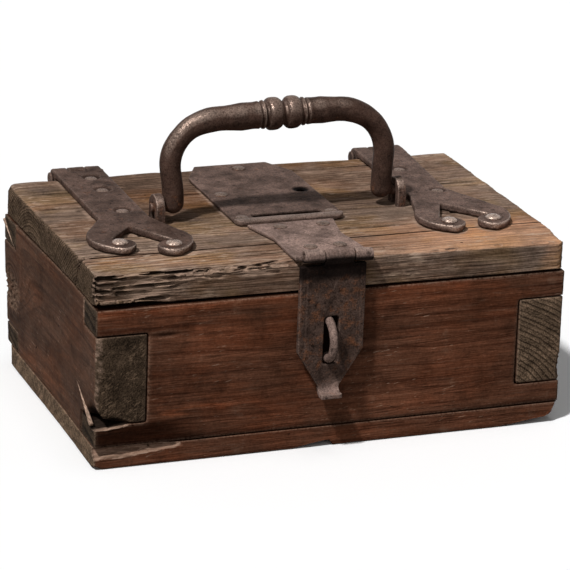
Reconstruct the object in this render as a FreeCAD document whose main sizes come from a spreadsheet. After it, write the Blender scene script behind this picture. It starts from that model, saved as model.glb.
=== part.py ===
import FreeCAD, Part
import math
import os

import Sketcher

# Iron-bound wooden offering box with a hinged lid, a bail handle and a hasp.
# X runs along the box to the right, Y to the back and Z up. The origin is the middle of the underside.
# Sizes are in millimetres.
SIZES = {
    # Carcass boards
    "box_length": 270.0,
    "box_depth": 170.0,
    "bottom_thickness": 12.0,
    "wall_height": 78.0,
    "side_thickness": 27.0,
    "front_thickness": 24.0,
    "back_thickness": 23.0,
    "top_finger": 15.0,
    "bottom_finger": 13.0,
    # Piece broken out of the left tenon's lower front corner
    "chip_width": 13.0,
    "chip_height": 17.0,
    "chip_depth": 11.0,
    # Lid boards: the middle seam runs askew, the front seam leans
    "lid_thickness": 18.0,
    "middle_seam": -2.4,
    "seam_skew": 10.5,
    "strip_width": 33.0,
    "strip_lean": 8.0,
    # Forged nails
    "nail_shank": 3.0,
    "nail_head": 8.4,
    "nail_crown": 4.6,
    "nail_rise": 2.2,
    "lid_nail_bite": 14.0,
    "wall_nail_bite": 17.0,
    "bottom_nail_length": 31.0,
    "bottom_nail_spacing": 90.0,
    # Strap hinges on the lid, each set off from the handle staple beside it
    "left_strap_gap": 2.45,
    "left_strap_back": 28.7,
    "left_strap_neck": 28.4,
    "left_strap_lean": 0.2,
    "right_strap_gap": 7.3,
    "right_strap_back": 30.0,
    "right_strap_neck": 25.6,
    "right_strap_lean": -4.5,
    "strap_thickness": 4.0,
    "knuckle_radius": 6.0,
    "knuckle_share": 10.0,
    "knuckle_gap": 0.4,
    "hinge_clear": 0.4,
    "hinge_pin": 5.0,
    "pin_fit": 0.05,
    "pin_head": 8.0,
    "pin_head_length": 1.4,
    # Scrolls at the straps' front ends, reckoned from the strap's middle and forward from the handle's axis
    "lobe_radius": 9.0,
    "lobe_crown": 3.2,
    "eye_out": 2.6,
    "eye_rise": 7.5,
    "shoulder_out": 10.8,
    "shoulder_rise": 24.0,
    "curl_bulge": 8.0,
    "left_crotch_shift": -1.6,
    "left_crotch_reach": 16.0,
    "left_outer_nail": 15.0,
    "left_outer_reach": 42.4,
    "left_outer_neck": -1.0,
    "left_inner_nail": 12.5,
    "left_inner_reach": 50.6,
    "left_inner_neck": 3.0,
    "right_crotch_shift": -5.7,
    "right_crotch_reach": 18.0,
    "right_inner_nail": 13.6,
    "right_inner_reach": 49.5,
    "right_inner_neck": 1.0,
    "right_outer_nail": 12.4,
    "right_outer_reach": 50.2,
    "right_outer_neck": -7.8,
    "left_nail_shift": 3.2,
    "left_back_nail": 12.8,
    "left_mid_nail": 35.5,
    "left_front_nail": 74.0,
    "right_mid_nail": 37.4,
    "right_mid_shift": -3.3,
    "right_front_nail": 80.0,
    "right_front_shift": 2.8,
    # Hinge leaves on the back
    "leaf_width": 28.0,
    "leaf_length": 54.0,
    "leaf_thickness": 3.4,
    "leaf_foot": 14.0,
    "leaf_upper_nail": 14.0,
    "leaf_lower_nail": 38.0,
    # Bail handle and its staples
    "handle_shift": -4.6,
    "handle_set_back": -1.0,
    "handle_inset": 73.4,
    "handle_rise": 50.6,
    "handle_radius": 6.0,
    "handle_corner": 30.0,
    "handle_pin": 5.4,
    "pin_overhang": 1.6,
    "pivot_height": 7.8,
    "foot_drop": 4.0,
    "grip_swell": 1.9,
    "bead_width": 9.0,
    "bead_radius": 8.8,
    "ring_width": 2.2,
    "ring_radius": 8.1,
    "staple_width": 5.0,
    "staple_bar": 4.6,
    "staple_clear": 0.3,
    "left_play": 0.7,
    "right_play": 1.8,
    "clench_length": 9.0,
    "clench_depth": 3.0,
    # Coin slot plate
    "plate_shift": -3.7,
    "plate_width": 64.0,
    "plate_gap": 3.0,
    "plate_margin": 1.0,
    "plate_thickness": 2.0,
    "plate_clip_across": 10.0,
    "plate_clip_along": 20.0,
    "plate_corner": 5.0,
    "slot_shift": 0.9,
    "slot_length": 41.0,
    "slot_width": 6.6,
    "slot_edge": 7.5,
    "plate_front_nail_in": 5.7,
    "plate_front_nail_up": 8.3,
    "plate_side_nail_in": 8.0,
    "plate_side_nail_up": 51.0,
    "plate_back_nail_in": 9.6,
    "plate_back_nail_shift": 2.3,
    "nail_hole": 4.2,
    # Hasp: strap on the lid, barrel at the front edge and the swinging plate
    "hasp_shift": -1.9,
    "hasp_strap_thickness": 2.0,
    "hasp_strap_length": 60.4,
    "hasp_strap_back": 53.0,
    "hasp_strap_lean": -2.8,
    "hasp_strap_waist": 40.0,
    "hasp_waist_reach": 36.7,
    "hasp_strap_front": 47.0,
    "hasp_rear_nail_spread": 12.5,
    "hasp_rear_nail_reach": 52.6,
    "hasp_front_nail_spread": 8.5,
    "hasp_front_nail_reach": 16.8,
    "barrel_length": 40.4,
    "barrel_radius": 3.5,
    "barrel_share": 16.6,
    "barrel_clear": 0.3,
    "barrel_lift": 3.4,
    "hasp_pin": 3.2,
    "hasp_plate_shift": -3.1,
    "hasp_plate_width": 37.8,
    "hasp_plate_thickness": 3.0,
    "hasp_shoulder": 4.7,
    "hasp_straight": 53.4,
    "hasp_drop": 74.1,
    "hasp_tip_width": 12.0,
    "hasp_curl": 2.5,
    "hasp_lip": 3.0,
    "hasp_slot_width": 8.4,
    "hasp_slot_over": 0.6,
    "hasp_slot_under": 1.2,
    "hasp_slot_corner": 2.0,
    # Padlock staple in the front board
    "lock_wire": 3.8,
    "lock_height": 64.3,
    "lock_span": 22.0,
    "lock_reach": 15.0,
    "lock_fit": 0.1,
    "lock_bend": 3.0,
    "lock_clench": 6.0,
}

# Height of a quarter circle over its chord, as a share of its radius
QUARTER = 1.0 - math.sqrt(0.5)
ALONG_X = FreeCAD.Rotation(FreeCAD.Vector(0, 1, 0), 90)
TO_THE_BACK = FreeCAD.Rotation(FreeCAD.Vector(1, 0, 0), -90)
UNTURNED = FreeCAD.Rotation()


class Size:
    """A length: its value, and the expression over the sheet that gives it."""

    def __init__(self, value, text):
        self.value = float(value)
        self.text = text

    def __add__(self, other):
        other = as_size(other)
        return Size(self.value + other.value, f"({self.text} + {other.text})")

    def __sub__(self, other):
        other = as_size(other)
        return Size(self.value - other.value, f"({self.text} - {other.text})")

    def __mul__(self, other):
        other = as_size(other)
        return Size(self.value * other.value, f"({self.text} * {other.text})")

    def __truediv__(self, other):
        other = as_size(other)
        return Size(self.value / other.value, f"({self.text} / {other.text})")

    def __neg__(self):
        return Size(-self.value, f"(0 - {self.text})")


def as_size(number):
    """Takes a plain number as a fixed length."""
    if isinstance(number, Size):
        return number
    return Size(number, f"({float(number)!r})")


def size(alias):
    """The driving dimension kept in the sheet under this alias."""
    return Size(SIZES[alias], f"sizes.{alias}")


def fill_sheet(doc):
    """Writes the driving dimensions into the spreadsheet."""
    sheet = doc.addObject("Spreadsheet::Sheet", "sizes")
    for row, (alias, value) in enumerate(SIZES.items(), start=1):
        sheet.set(f"A{row}", alias.replace("_", " "))
        sheet.set(f"B{row}", str(value))
        sheet.setAlias(f"B{row}", alias)
    doc.recompute()


def bind(item, path, length):
    """Ties one property of an object to the sheet."""
    item.setExpression(path, as_size(length).text)


def place(item, x, y, z, rotation=UNTURNED):
    """Puts an object at a point given in sheet lengths."""
    item.Placement = FreeCAD.Placement(FreeCAD.Vector(), rotation)
    for axis, length in zip("xyz", (x, y, z)):
        bind(item, f"Placement.Base.{axis}", length)


def new_body(doc, name):
    """An empty body for padded and revolved pieces."""
    return doc.addObject("PartDesign::Body", name)


def new_sketch(body, name, plane, lift=0.0):
    """A sketch on one of the body's own planes, lifted along the plane's normal.

    Sketch axes are X,Y on XY_Plane, X,Z on XZ_Plane (normal to the front) and Y,Z on YZ_Plane.
    """
    sketch = body.newObject("Sketcher::SketchObject", f"{body.Name}_{name}")
    support = next(item for item in body.Origin.OriginFeatures if item.Role == plane)
    sketch.AttachmentSupport = [(support, "")]
    sketch.MapMode = "FlatFace"
    bind(sketch, "AttachmentOffset.Base.z", lift)
    return sketch


def constrain(sketch, kind, length, *where):
    """Adds one dimension to a sketch and ties it to the sheet."""
    index = sketch.addConstraint(Sketcher.Constraint(kind, *where, length.value))
    bind(sketch, f"Constraints[{index}]", length)


def pin_point(sketch, edge, end, x, y):
    """Fixes the end of an edge, or a circle's centre, from the sketch's origin."""
    constrain(sketch, "DistanceX", x, -1, 1, edge, end)
    constrain(sketch, "DistanceY", y, -1, 1, edge, end)


def arc_radius(start, end, bulge):
    """Radius of the arc that stands this far off its chord."""
    across = end[0] - start[0]
    along = end[1] - start[1]
    height = bulge if bulge.value > 0 else -bulge
    return ((across * across + along * along) / 4 + height * height) / (height * 2)


def add_edge(sketch, start, end, bulge):
    """Adds a line, or an arc that stands off its chord to the right, or to the left if negative.

    Returns the edge and which of its ends lie at start and at end.
    """
    first = FreeCAD.Vector(start[0].value, start[1].value, 0)
    last = FreeCAD.Vector(end[0].value, end[1].value, 0)
    if bulge is None:
        return sketch.addGeometry(Part.LineSegment(first, last), False), 1, 2
    chord = last - first
    right = FreeCAD.Vector(chord.y, -chord.x, 0).normalize()
    crown = (first + last) * 0.5 + right * bulge.value
    edge = sketch.addGeometry(Part.Arc(first, crown, last), False)
    constrain(sketch, "Radius", arc_radius(start, end, bulge), edge)
    if bulge.value > 0:
        return edge, 1, 2
    return edge, 2, 1


def draw(sketch, corners, closed=True):
    """Draws edges through corners (x, y) or (x, y, bulge); a bulge bends the edge that leaves it."""
    points = [tuple(as_size(value) for value in corner) for corner in corners]
    count = len(points) if closed else len(points) - 1
    edges = []
    for index in range(count):
        start = points[index]
        end = points[(index + 1) % len(points)]
        bulge = start[2] if len(start) > 2 else None
        edges.append(add_edge(sketch, start, end, bulge))
    for index, (edge, begin, finish) in enumerate(edges):
        pin_point(sketch, edge, begin, points[index][0], points[index][1])
        if index > 0:
            before = edges[index - 1]
            sketch.addConstraint(Sketcher.Constraint("Coincident", before[0], before[2], edge, begin))
    edge, begin, finish = edges[-1]
    if closed:
        sketch.addConstraint(Sketcher.Constraint("Coincident", edge, finish, edges[0][0], edges[0][1]))
    else:
        pin_point(sketch, edge, finish, points[-1][0], points[-1][1])


def draw_circle(sketch, x, y, radius):
    """Draws a circle around a point."""
    x, y, radius = as_size(x), as_size(y), as_size(radius)
    centre = FreeCAD.Vector(x.value, y.value, 0)
    edge = sketch.addGeometry(Part.Circle(centre, FreeCAD.Vector(0, 0, 1), radius.value), False)
    pin_point(sketch, edge, 3, x, y)
    constrain(sketch, "Radius", radius, edge)


def rectangle(low_x, low_y, high_x, high_y):
    """Corners of an upright rectangle."""
    return [(low_x, low_y), (high_x, low_y), (high_x, high_y), (low_x, high_y)]


def rounded_rectangle(low_x, low_y, high_x, high_y, radius):
    """Corners of a rectangle with round corners."""
    bulge = radius * QUARTER
    return [(low_x + radius, low_y), (high_x - radius, low_y, bulge),
            (high_x, low_y + radius), (high_x, high_y - radius, bulge),
            (high_x - radius, high_y), (low_x + radius, high_y, bulge),
            (low_x, high_y - radius), (low_x, low_y + radius, bulge)]


def pad(body, sketch, length, backwards=False, symmetric=False):
    """Thickens a sketch along its normal."""
    feature = body.newObject("PartDesign::Pad", f"{sketch.Name}_pad")
    feature.Profile = sketch
    bind(feature, "Length", length)
    feature.Reversed = backwards
    if symmetric:
        feature.SideType = "Symmetric"
    return feature


def pocket(body, sketch, depth, backwards=False):
    """Cuts a sketch into the body, against its normal unless it is turned backwards."""
    feature = body.newObject("PartDesign::Pocket", f"{sketch.Name}_pocket")
    feature.Profile = sketch
    bind(feature, "Length", depth)
    feature.Reversed = backwards
    return feature


def pipe(body, profile, spine):
    """Runs a round section along a path."""
    feature = body.newObject("PartDesign::AdditivePipe", f"{spine.Name}_pipe")
    feature.Profile = profile
    feature.Spine = (spine, [""])
    return feature


def block(doc, name, low, high):
    """A plain block between two corners."""
    item = doc.addObject("Part::Box", name)
    lows = [as_size(value) for value in low]
    highs = [as_size(value) for value in high]
    for path, start, end in zip(("Length", "Width", "Height"), lows, highs):
        bind(item, path, end - start)
    place(item, *lows)
    return item


def rod(doc, name, start_x, end_x, y, z, radius):
    """A round rod along X."""
    item = doc.addObject("Part::Cylinder", name)
    bind(item, "Radius", radius)
    bind(item, "Height", end_x - start_x)
    place(item, start_x, y, z, ALONG_X)
    return item


def compound(doc, name, items):
    """Keeps separate solids together as one object."""
    group = doc.addObject("Part::Compound", name)
    group.Links = list(items)
    return group


def cut(doc, name, base, tools):
    """Takes every tool out of the base piece."""
    piece = doc.addObject("Part::Cut", name)
    piece.Base = base
    piece.Tool = tools[0] if len(tools) == 1 else compound(doc, f"{name}_tools", tools)
    return piece


def common(doc, name, base, tool):
    """Keeps what two blanks share."""
    piece = doc.addObject("Part::Common", name)
    piece.Base = base
    piece.Tool = tool
    return piece


def fuse(doc, name, items):
    """Joins overlapping pieces into one solid."""
    piece = doc.addObject("Part::MultiFuse", name)
    piece.Shapes = list(items)
    return piece


HALF_LENGTH = size("box_length") / 2
HALF_DEPTH = size("box_depth") / 2
FLOOR = size("bottom_thickness")
SEAT = FLOOR + size("wall_height")
LID_TOP = SEAT + size("lid_thickness")
FRONT = -HALF_DEPTH
BACK = HALF_DEPTH
STRAP_TOP = LID_TOP + size("strap_thickness")
HINGE_Y = BACK + size("knuckle_radius") + size("hinge_clear")
HINGE_Z = STRAP_TOP - size("knuckle_radius")
HANDLE_HALF = HALF_LENGTH - size("handle_inset")
HASP_Y = FRONT - size("barrel_radius") - size("barrel_clear")
HASP_Z = LID_TOP + size("barrel_lift")
PIVOT_Y = size("handle_set_back")
PIVOT_Z = LID_TOP + size("pivot_height")


def nail_head(doc, name, low, high):
    """A nail's head, from its radius at the low face to its radius at the high one."""
    head = doc.addObject("Part::Cone", name)
    bind(head, "Radius1", low / 2)
    bind(head, "Radius2", high / 2)
    bind(head, "Height", size("nail_rise"))
    return head


def upright_nail(doc, name, x, y, z, bite):
    """A nail driven down from a plate's face at height z, its head standing proud."""
    half = size("nail_shank") / 2
    shank = block(doc, f"{name}_shank", (x - half, y - half, z - bite), (x + half, y + half, z))
    head = nail_head(doc, f"{name}_head", size("nail_head"), size("nail_crown"))
    place(head, x, y, z)
    return fuse(doc, name, (shank, head))


def sunk_nail(doc, name, x, y, z, bite):
    """A nail driven down from a plate's face at height z, its head let in flush."""
    half = size("nail_shank") / 2
    shank = block(doc, f"{name}_shank", (x - half, y - half, z - bite), (x + half, y + half, z))
    head = nail_head(doc, f"{name}_head", size("nail_crown"), size("nail_head"))
    place(head, x, y, z - size("nail_rise"))
    return fuse(doc, name, (shank, head))


def back_nail(doc, name, x, y, z, bite):
    """A nail driven forwards from a leaf's face on the back of the box."""
    half = size("nail_shank") / 2
    shank = block(doc, f"{name}_shank", (x - half, y - bite, z - half), (x + half, y, z + half))
    head = nail_head(doc, f"{name}_head", size("nail_head"), size("nail_crown"))
    place(head, x, y, z, TO_THE_BACK)
    return fuse(doc, name, (shank, head))


def bottom_nail(doc, name, x, y):
    """A nail driven up through the bottom board, its head sunk flush with the underside."""
    half = size("nail_shank") / 2
    top = size("bottom_nail_length")
    shank = block(doc, f"{name}_shank", (x - half, y - half, 0), (x + half, y + half, top))
    head = nail_head(doc, f"{name}_head", size("nail_head"), size("nail_crown"))
    place(head, x, y, 0)
    return fuse(doc, name, (shank, head))


def finger_levels():
    """Heights of the corner joint's shoulders, from the bottom up."""
    return FLOOR, FLOOR + size("bottom_finger"), SEAT - size("top_finger"), SEAT


def long_wall(doc, name, face_y, thickness, inwards):
    """Front or back board: full length at top and bottom, short between the side boards' tenons."""
    low, tenon_low, tenon_high, high = finger_levels()
    outer = HALF_LENGTH
    inner = HALF_LENGTH - size("side_thickness")
    body = new_body(doc, name)
    sketch = new_sketch(body, "face", "XZ_Plane", -face_y)
    draw(sketch, [(-outer, low), (outer, low), (outer, tenon_low), (inner, tenon_low),
                  (inner, tenon_high), (outer, tenon_high), (outer, high), (-outer, high),
                  (-outer, tenon_high), (-inner, tenon_high), (-inner, tenon_low), (-outer, tenon_low)])
    pad(body, sketch, thickness, backwards=inwards)
    return body


def side_wall(doc, name, left_x):
    """Side board: one tall tenon at each end that shows on the front and the back."""
    low, tenon_low, tenon_high, high = finger_levels()
    front_in = FRONT + size("front_thickness")
    back_in = BACK - size("back_thickness")
    body = new_body(doc, name)
    sketch = new_sketch(body, "face", "YZ_Plane", left_x)
    draw(sketch, [(front_in, low), (back_in, low), (back_in, tenon_low), (BACK, tenon_low),
                  (BACK, tenon_high), (back_in, tenon_high), (back_in, high), (front_in, high),
                  (front_in, tenon_high), (FRONT, tenon_high), (FRONT, tenon_low), (front_in, tenon_low)])
    pad(body, sketch, size("side_thickness"))
    return body


def break_corner(body):
    """Breaks the lower front corner out of the left tenon."""
    low = FLOOR + size("bottom_finger")
    sketch = new_sketch(body, "chip", "XZ_Plane", HALF_DEPTH)
    draw(sketch, [(-HALF_LENGTH, low), (size("chip_width") - HALF_LENGTH, low),
                  (-HALF_LENGTH, low + size("chip_height"))])
    pocket(body, sketch, size("chip_depth"))


def bottom_blank(doc):
    """Bottom board under all four walls."""
    body = new_body(doc, "bottom_blank")
    sketch = new_sketch(body, "face", "XY_Plane")
    draw(sketch, rectangle(-HALF_LENGTH, FRONT, HALF_LENGTH, BACK))
    pad(body, sketch, FLOOR)
    return body


def bottom_nail_places():
    """Where the bottom board is nailed to the walls."""
    front_row = FRONT + size("front_thickness") / 2
    back_row = BACK - size("back_thickness") / 2
    places = []
    for row in (front_row, back_row):
        for step in (-1, 0, 1):
            places.append((size("bottom_nail_spacing") * step, row))
    for side in (-1, 1):
        places.append(((HALF_LENGTH - size("side_thickness") / 2) * side, as_size(0)))
    return places


def seam_ends():
    """Y of the lid's middle seam at the left and right ends."""
    half = size("seam_skew") / 2
    return size("middle_seam") + half, size("middle_seam") - half


def lid_back_blank(doc):
    """Back lid board, between the askew seam and the hinges."""
    left, right = seam_ends()
    body = new_body(doc, "lid_back_blank")
    sketch = new_sketch(body, "face", "XY_Plane", SEAT)
    draw(sketch, [(-HALF_LENGTH, left), (HALF_LENGTH, right), (HALF_LENGTH, BACK), (-HALF_LENGTH, BACK)])
    pad(body, sketch, size("lid_thickness"))
    return body


def front_seam():
    """Y of the lid's leaning front seam at the top and at the underside."""
    top = FRONT + size("strip_width")
    return top, top + size("strip_lean")


def lid_middle_blank(doc):
    """Middle lid board: a leaning front edge and an askew back edge."""
    left, right = seam_ends()
    seam_top, seam_low = front_seam()
    body = new_body(doc, "lid_middle_blank")
    sketch = new_sketch(body, "section", "YZ_Plane")
    draw(sketch, [(seam_low, SEAT), (left, SEAT), (left, LID_TOP), (seam_top, LID_TOP)])
    pad(body, sketch, size("box_length"), symmetric=True)
    wedge = new_sketch(body, "wedge", "XY_Plane", LID_TOP)
    draw(wedge, [(-HALF_LENGTH, left), (HALF_LENGTH, right), (HALF_LENGTH, left)])
    pocket(body, wedge, size("lid_thickness"))
    return body


def lid_front_blank(doc):
    """Narrow front strip of the lid."""
    seam_top, seam_low = front_seam()
    body = new_body(doc, "lid_front_blank")
    sketch = new_sketch(body, "section", "YZ_Plane")
    draw(sketch, [(FRONT, SEAT), (seam_low, SEAT), (seam_top, LID_TOP), (FRONT, LID_TOP)])
    pad(body, sketch, size("box_length"), symmetric=True)
    return body


def strap_section(doc, name, low_x, high_x):
    """Side view of a strap: flat on the lid, then rolled into an eye behind the lid's back edge."""
    body = new_body(doc, name)
    sketch = new_sketch(body, "side", "YZ_Plane", low_x)
    draw(sketch, rectangle(FRONT, LID_TOP, HINGE_Y, STRAP_TOP))
    pad(body, sketch, high_x - low_x)
    roll = new_sketch(body, "roll", "YZ_Plane", low_x)
    draw_circle(roll, HINGE_Y, HINGE_Z, size("knuckle_radius"))
    pad(body, roll, high_x - low_x)
    return body


def leg_x(side):
    """X of a handle leg's axis, left (-1) or right (1)."""
    return size("handle_shift") + HANDLE_HALF * side


def staple_x(side):
    """X of a handle staple's middle, beyond the leg and its play."""
    play = size("left_play") if side < 0 else size("right_play")
    return leg_x(side) + (size("handle_radius") + play + size("staple_width") / 2) * side


def strap_middle(strap):
    """X of a strap's middle, a gap beyond the handle staple on its side."""
    side = -1 if strap == "left" else 1
    reach = (size("staple_width") + size(f"{strap}_strap_back")) / 2 + size(f"{strap}_strap_gap")
    return staple_x(side) + reach * side


def scroll_nail(strap, arm):
    """Where a scroll's nail goes through its lobe."""
    side = scroll_side(strap, arm)
    return strap_middle(strap) + size(f"{strap}_{arm}_nail") * side, PIVOT_Y - size(f"{strap}_{arm}_reach")


def scroll_side(strap, arm):
    """Whether a scroll turns out to the left (-1) or to the right (1) of its strap."""
    outwards = -1 if strap == "left" else 1
    return outwards if arm == "outer" else -outwards


def scroll_corners(strap, arm):
    """A scroll's corners from the strap's neck round the lobe to the eye."""
    side = scroll_side(strap, arm)
    x, y = scroll_nail(strap, arm)
    lobe = size("lobe_radius")
    half_neck = size(f"{strap}_strap_neck") / 2
    neck_middle = strap_middle(strap) + size(f"{strap}_strap_lean")
    neck = (neck_middle + half_neck * side, PIVOT_Y - size(f"{strap}_{arm}_neck"))
    shoulder = (x + size("shoulder_out") * side, y + size("shoulder_rise"))
    low = (x, y - lobe)
    tip = (x - lobe * side, y)
    eye = (x + size("eye_out") * side, y + size("eye_rise"))
    return neck, shoulder, low, tip, eye


def strap_plan(doc, name, strap):
    """Top view of a strap with its two scrolls curling in towards each other."""
    middle = strap_middle(strap)
    half_back = size(f"{strap}_strap_back") / 2
    far = HINGE_Y + size("knuckle_radius") * 2
    arms = ("outer", "inner") if strap == "left" else ("inner", "outer")
    neck, shoulder, low, tip, eye = scroll_corners(strap, arms[0])
    neck_b, shoulder_b, low_b, tip_b, eye_b = scroll_corners(strap, arms[1])
    crotch = (middle + size(f"{strap}_crotch_shift"), PIVOT_Y - size(f"{strap}_crotch_reach"))
    curl = (size("curl_bulge"),)
    crown = (size("lobe_crown"),)
    turn = (size("lobe_radius") * QUARTER,)
    body = new_body(doc, name)
    sketch = new_sketch(body, "plan", "XY_Plane", HINGE_Z - size("knuckle_radius") * 2)
    draw(sketch, [(middle - half_back, far), (middle - half_back, BACK), neck, shoulder + curl, low + turn,
                  tip + crown, eye, crotch, eye_b + crown, tip_b + turn, low_b + curl, shoulder_b, neck_b,
                  (middle + half_back, BACK), (middle + half_back, far)])
    pad(body, sketch, size("lid_thickness") + size("knuckle_radius") * 4)
    return body


def strap_nails(doc, strap):
    """Nails through one strap: along its bar and in both scrolls."""
    middle = strap_middle(strap)
    if strap == "left":
        bar = [(size("left_nail_shift"), size(f"left_{row}_nail")) for row in ("back", "mid", "front")]
    else:
        bar = [(size(f"right_{row}_shift"), size(f"right_{row}_nail")) for row in ("mid", "front")]
    nails = []
    bite = size("lid_nail_bite") + size("strap_thickness")
    for index, (shift, reach) in enumerate(bar):
        name = f"{strap}_bar_nail_{index}"
        nails.append(sunk_nail(doc, name, middle + shift, BACK - reach, STRAP_TOP, bite))
    for arm in ("outer", "inner"):
        x, y = scroll_nail(strap, arm)
        nails.append(upright_nail(doc, f"{strap}_{arm}_scroll_nail", x, y, STRAP_TOP, bite))
    return compound(doc, f"{strap}_strap_nails", nails)


def hinge_bore(doc, name, middle, width):
    """Bore for a hinge pin through a set of knuckles."""
    half = width / 2 + size("knuckle_gap")
    radius = size("hinge_pin") / 2 + size("pin_fit")
    return rod(doc, name, middle - half, middle + half, HINGE_Y, HINGE_Z, radius)


def strap_hinge(doc, strap, nails):
    """A forged strap whose eye is parted into two outer knuckles."""
    middle = strap_middle(strap)
    width = size(f"{strap}_strap_back")
    span = width * 3 / 2
    section = strap_section(doc, f"{strap}_strap_section", middle - span, middle + span)
    plan = strap_plan(doc, f"{strap}_strap_plan", strap)
    blank = common(doc, f"{strap}_strap_blank", section, plan)
    half = size("knuckle_share") / 2 + size("knuckle_gap")
    reach = size("knuckle_radius") + size("knuckle_gap") + size("hinge_clear")
    notch = block(doc, f"{strap}_strap_notch", (middle - half, BACK, HINGE_Z - reach),
                  (middle + half, HINGE_Y + reach, HINGE_Z + reach))
    bore = hinge_bore(doc, f"{strap}_strap_bore", middle, width)
    return cut(doc, f"{strap}_strap_hinge", blank, (notch, bore, nails))


def leaf_nails(doc, strap):
    """Nails that hold one leaf to the back board."""
    nails = []
    for row in ("upper", "lower"):
        nails.append(back_nail(doc, f"{strap}_leaf_{row}_nail_solid", strap_middle(strap),
                               BACK + size("leaf_thickness"), SEAT - size(f"leaf_{row}_nail"),
                               size("wall_nail_bite") + size("leaf_thickness")))
    return compound(doc, f"{strap}_leaf_nails", nails)


def hinge_leaf(doc, strap, nails):
    """The leaf on the back board, with the middle knuckle."""
    middle = strap_middle(strap)
    half = size("leaf_width") / 2
    tongue = size("knuckle_share") / 2
    foot = size("leaf_foot") / 2
    thick = size("leaf_thickness")
    shoulder = SEAT - size("knuckle_gap")
    low = SEAT - size("leaf_length")
    body = new_body(doc, f"{strap}_leaf_blank")
    sketch = new_sketch(body, "face", "XZ_Plane", -BACK)
    draw(sketch, [(middle - foot, low + foot, foot * QUARTER), (middle, low, foot * QUARTER),
                  (middle + foot, low + foot), (middle + half, shoulder), (middle - half, shoulder)])
    pad(body, sketch, thick, backwards=True)
    riser = new_sketch(body, "riser", "YZ_Plane", middle - tongue)
    draw(riser, rectangle(BACK + size("hinge_clear"), shoulder - thick, BACK + thick, HINGE_Z))
    pad(body, riser, size("knuckle_share"))
    roll = new_sketch(body, "roll", "YZ_Plane", middle - tongue)
    draw_circle(roll, HINGE_Y, HINGE_Z, size("knuckle_radius"))
    pad(body, roll, size("knuckle_share"))
    bore = hinge_bore(doc, f"{strap}_leaf_bore", middle, size(f"{strap}_strap_back"))
    return cut(doc, f"{strap}_hinge_leaf", body, (bore, nails))


def hinge_pin(doc, strap):
    """Pin through the knuckles, upset at both ends."""
    middle = strap_middle(strap)
    half = size(f"{strap}_strap_back") / 2 + size("knuckle_gap")
    end = half + size("pin_head_length")
    name = f"{strap}_hinge_pin"
    head = size("pin_head") / 2
    shaft = rod(doc, f"{name}_shaft", middle - end, middle + end, HINGE_Y, HINGE_Z, size("hinge_pin") / 2)
    left_head = rod(doc, f"{name}_left_head", middle - end, middle - half, HINGE_Y, HINGE_Z, head)
    right_head = rod(doc, f"{name}_right_head", middle + half, middle + end, HINGE_Y, HINGE_Z, head)
    return fuse(doc, name, (shaft, left_head, right_head))


def handle_staple(doc, name, side):
    """An eye of flat bar whose legs go through the lid and are clenched under it."""
    inner = size("handle_pin") / 2 + size("staple_clear")
    outer = inner + size("staple_bar")
    toe = outer + size("clench_length")
    low = SEAT - size("clench_depth")
    body = new_body(doc, name)
    sketch = new_sketch(body, "side", "YZ_Plane", staple_x(side) - size("staple_width") / 2)
    turn = outer * QUARTER
    hollow = -inner * QUARTER
    draw(sketch, [(PIVOT_Y + inner, low), (PIVOT_Y + toe, low), (PIVOT_Y + toe, SEAT),
                  (PIVOT_Y + outer, SEAT), (PIVOT_Y + outer, PIVOT_Z, turn), (PIVOT_Y, PIVOT_Z + outer, turn),
                  (PIVOT_Y - outer, PIVOT_Z), (PIVOT_Y - outer, SEAT), (PIVOT_Y - toe, SEAT),
                  (PIVOT_Y - toe, low), (PIVOT_Y - inner, low), (PIVOT_Y - inner, PIVOT_Z, hollow),
                  (PIVOT_Y, PIVOT_Z + inner, hollow), (PIVOT_Y + inner, PIVOT_Z)])
    pad(body, sketch, size("staple_width"))
    return body


def grip_corners():
    """Half section of the grip: a swelling bar with two beads between three rings."""
    straight = HANDLE_HALF - size("handle_corner")
    bar = size("handle_radius")
    swell = bar + size("grip_swell")
    far = size("ring_width") * 3 / 2 + size("bead_width")
    corners = [(-straight, 0), (straight, 0), (straight, bar), (far, swell)]
    start = far
    for kind in ("ring", "bead", "ring", "bead", "ring"):
        end = start - size(f"{kind}_width")
        if kind == "bead":
            corners += [(start, swell, size("bead_radius") - swell), (end, swell)]
        else:
            corners += [(start, size("ring_radius")), (end, size("ring_radius"))]
        start = end
    return corners + [(-far, swell), (-straight, bar)]


def bail_handle(doc):
    """Forged bail: round legs and grip in one bar, with a pin turned out at each foot."""
    half = HANDLE_HALF
    corner = size("handle_corner")
    rise = size("handle_rise")
    bar = size("handle_radius")
    foot = bar - size("foot_drop")
    body = new_body(doc, "bail_handle")
    place(body, size("handle_shift"), PIVOT_Y, PIVOT_Z)
    section = new_sketch(body, "section", "XY_Plane", foot)
    draw_circle(section, -half, 0, bar)
    spine = new_sketch(body, "spine", "XZ_Plane")
    bend = -corner * QUARTER
    draw(spine, [(-half, foot), (-half, rise - corner, bend), (corner - half, rise),
                 (half - corner, rise, bend), (half, rise - corner), (half, foot)], closed=False)
    pipe(body, section, spine)
    grip = new_sketch(body, "grip", "XZ_Plane")
    bind(grip, "AttachmentOffset.Base.y", rise)
    draw(grip, grip_corners())
    turned = body.newObject("PartDesign::Revolution", "grip_turned")
    turned.Profile = grip
    turned.ReferenceAxis = (grip, ["H_Axis"])
    turned.Angle = 360
    for side, name in ((-1, "left"), (1, "right")):
        ball = body.newObject("PartDesign::AdditiveSphere", f"{name}_foot")
        bind(ball, "Radius", bar)
        place(ball, half * side, 0, foot)
        play = size("left_play") if side < 0 else size("right_play")
        length = bar + play + size("staple_width") + size("pin_overhang")
        pin = new_sketch(body, f"{name}_pin", "YZ_Plane", half * side)
        draw_circle(pin, 0, 0, size("handle_pin") / 2)
        pad(body, pin, length, backwards=side < 0)
    return body


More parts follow.
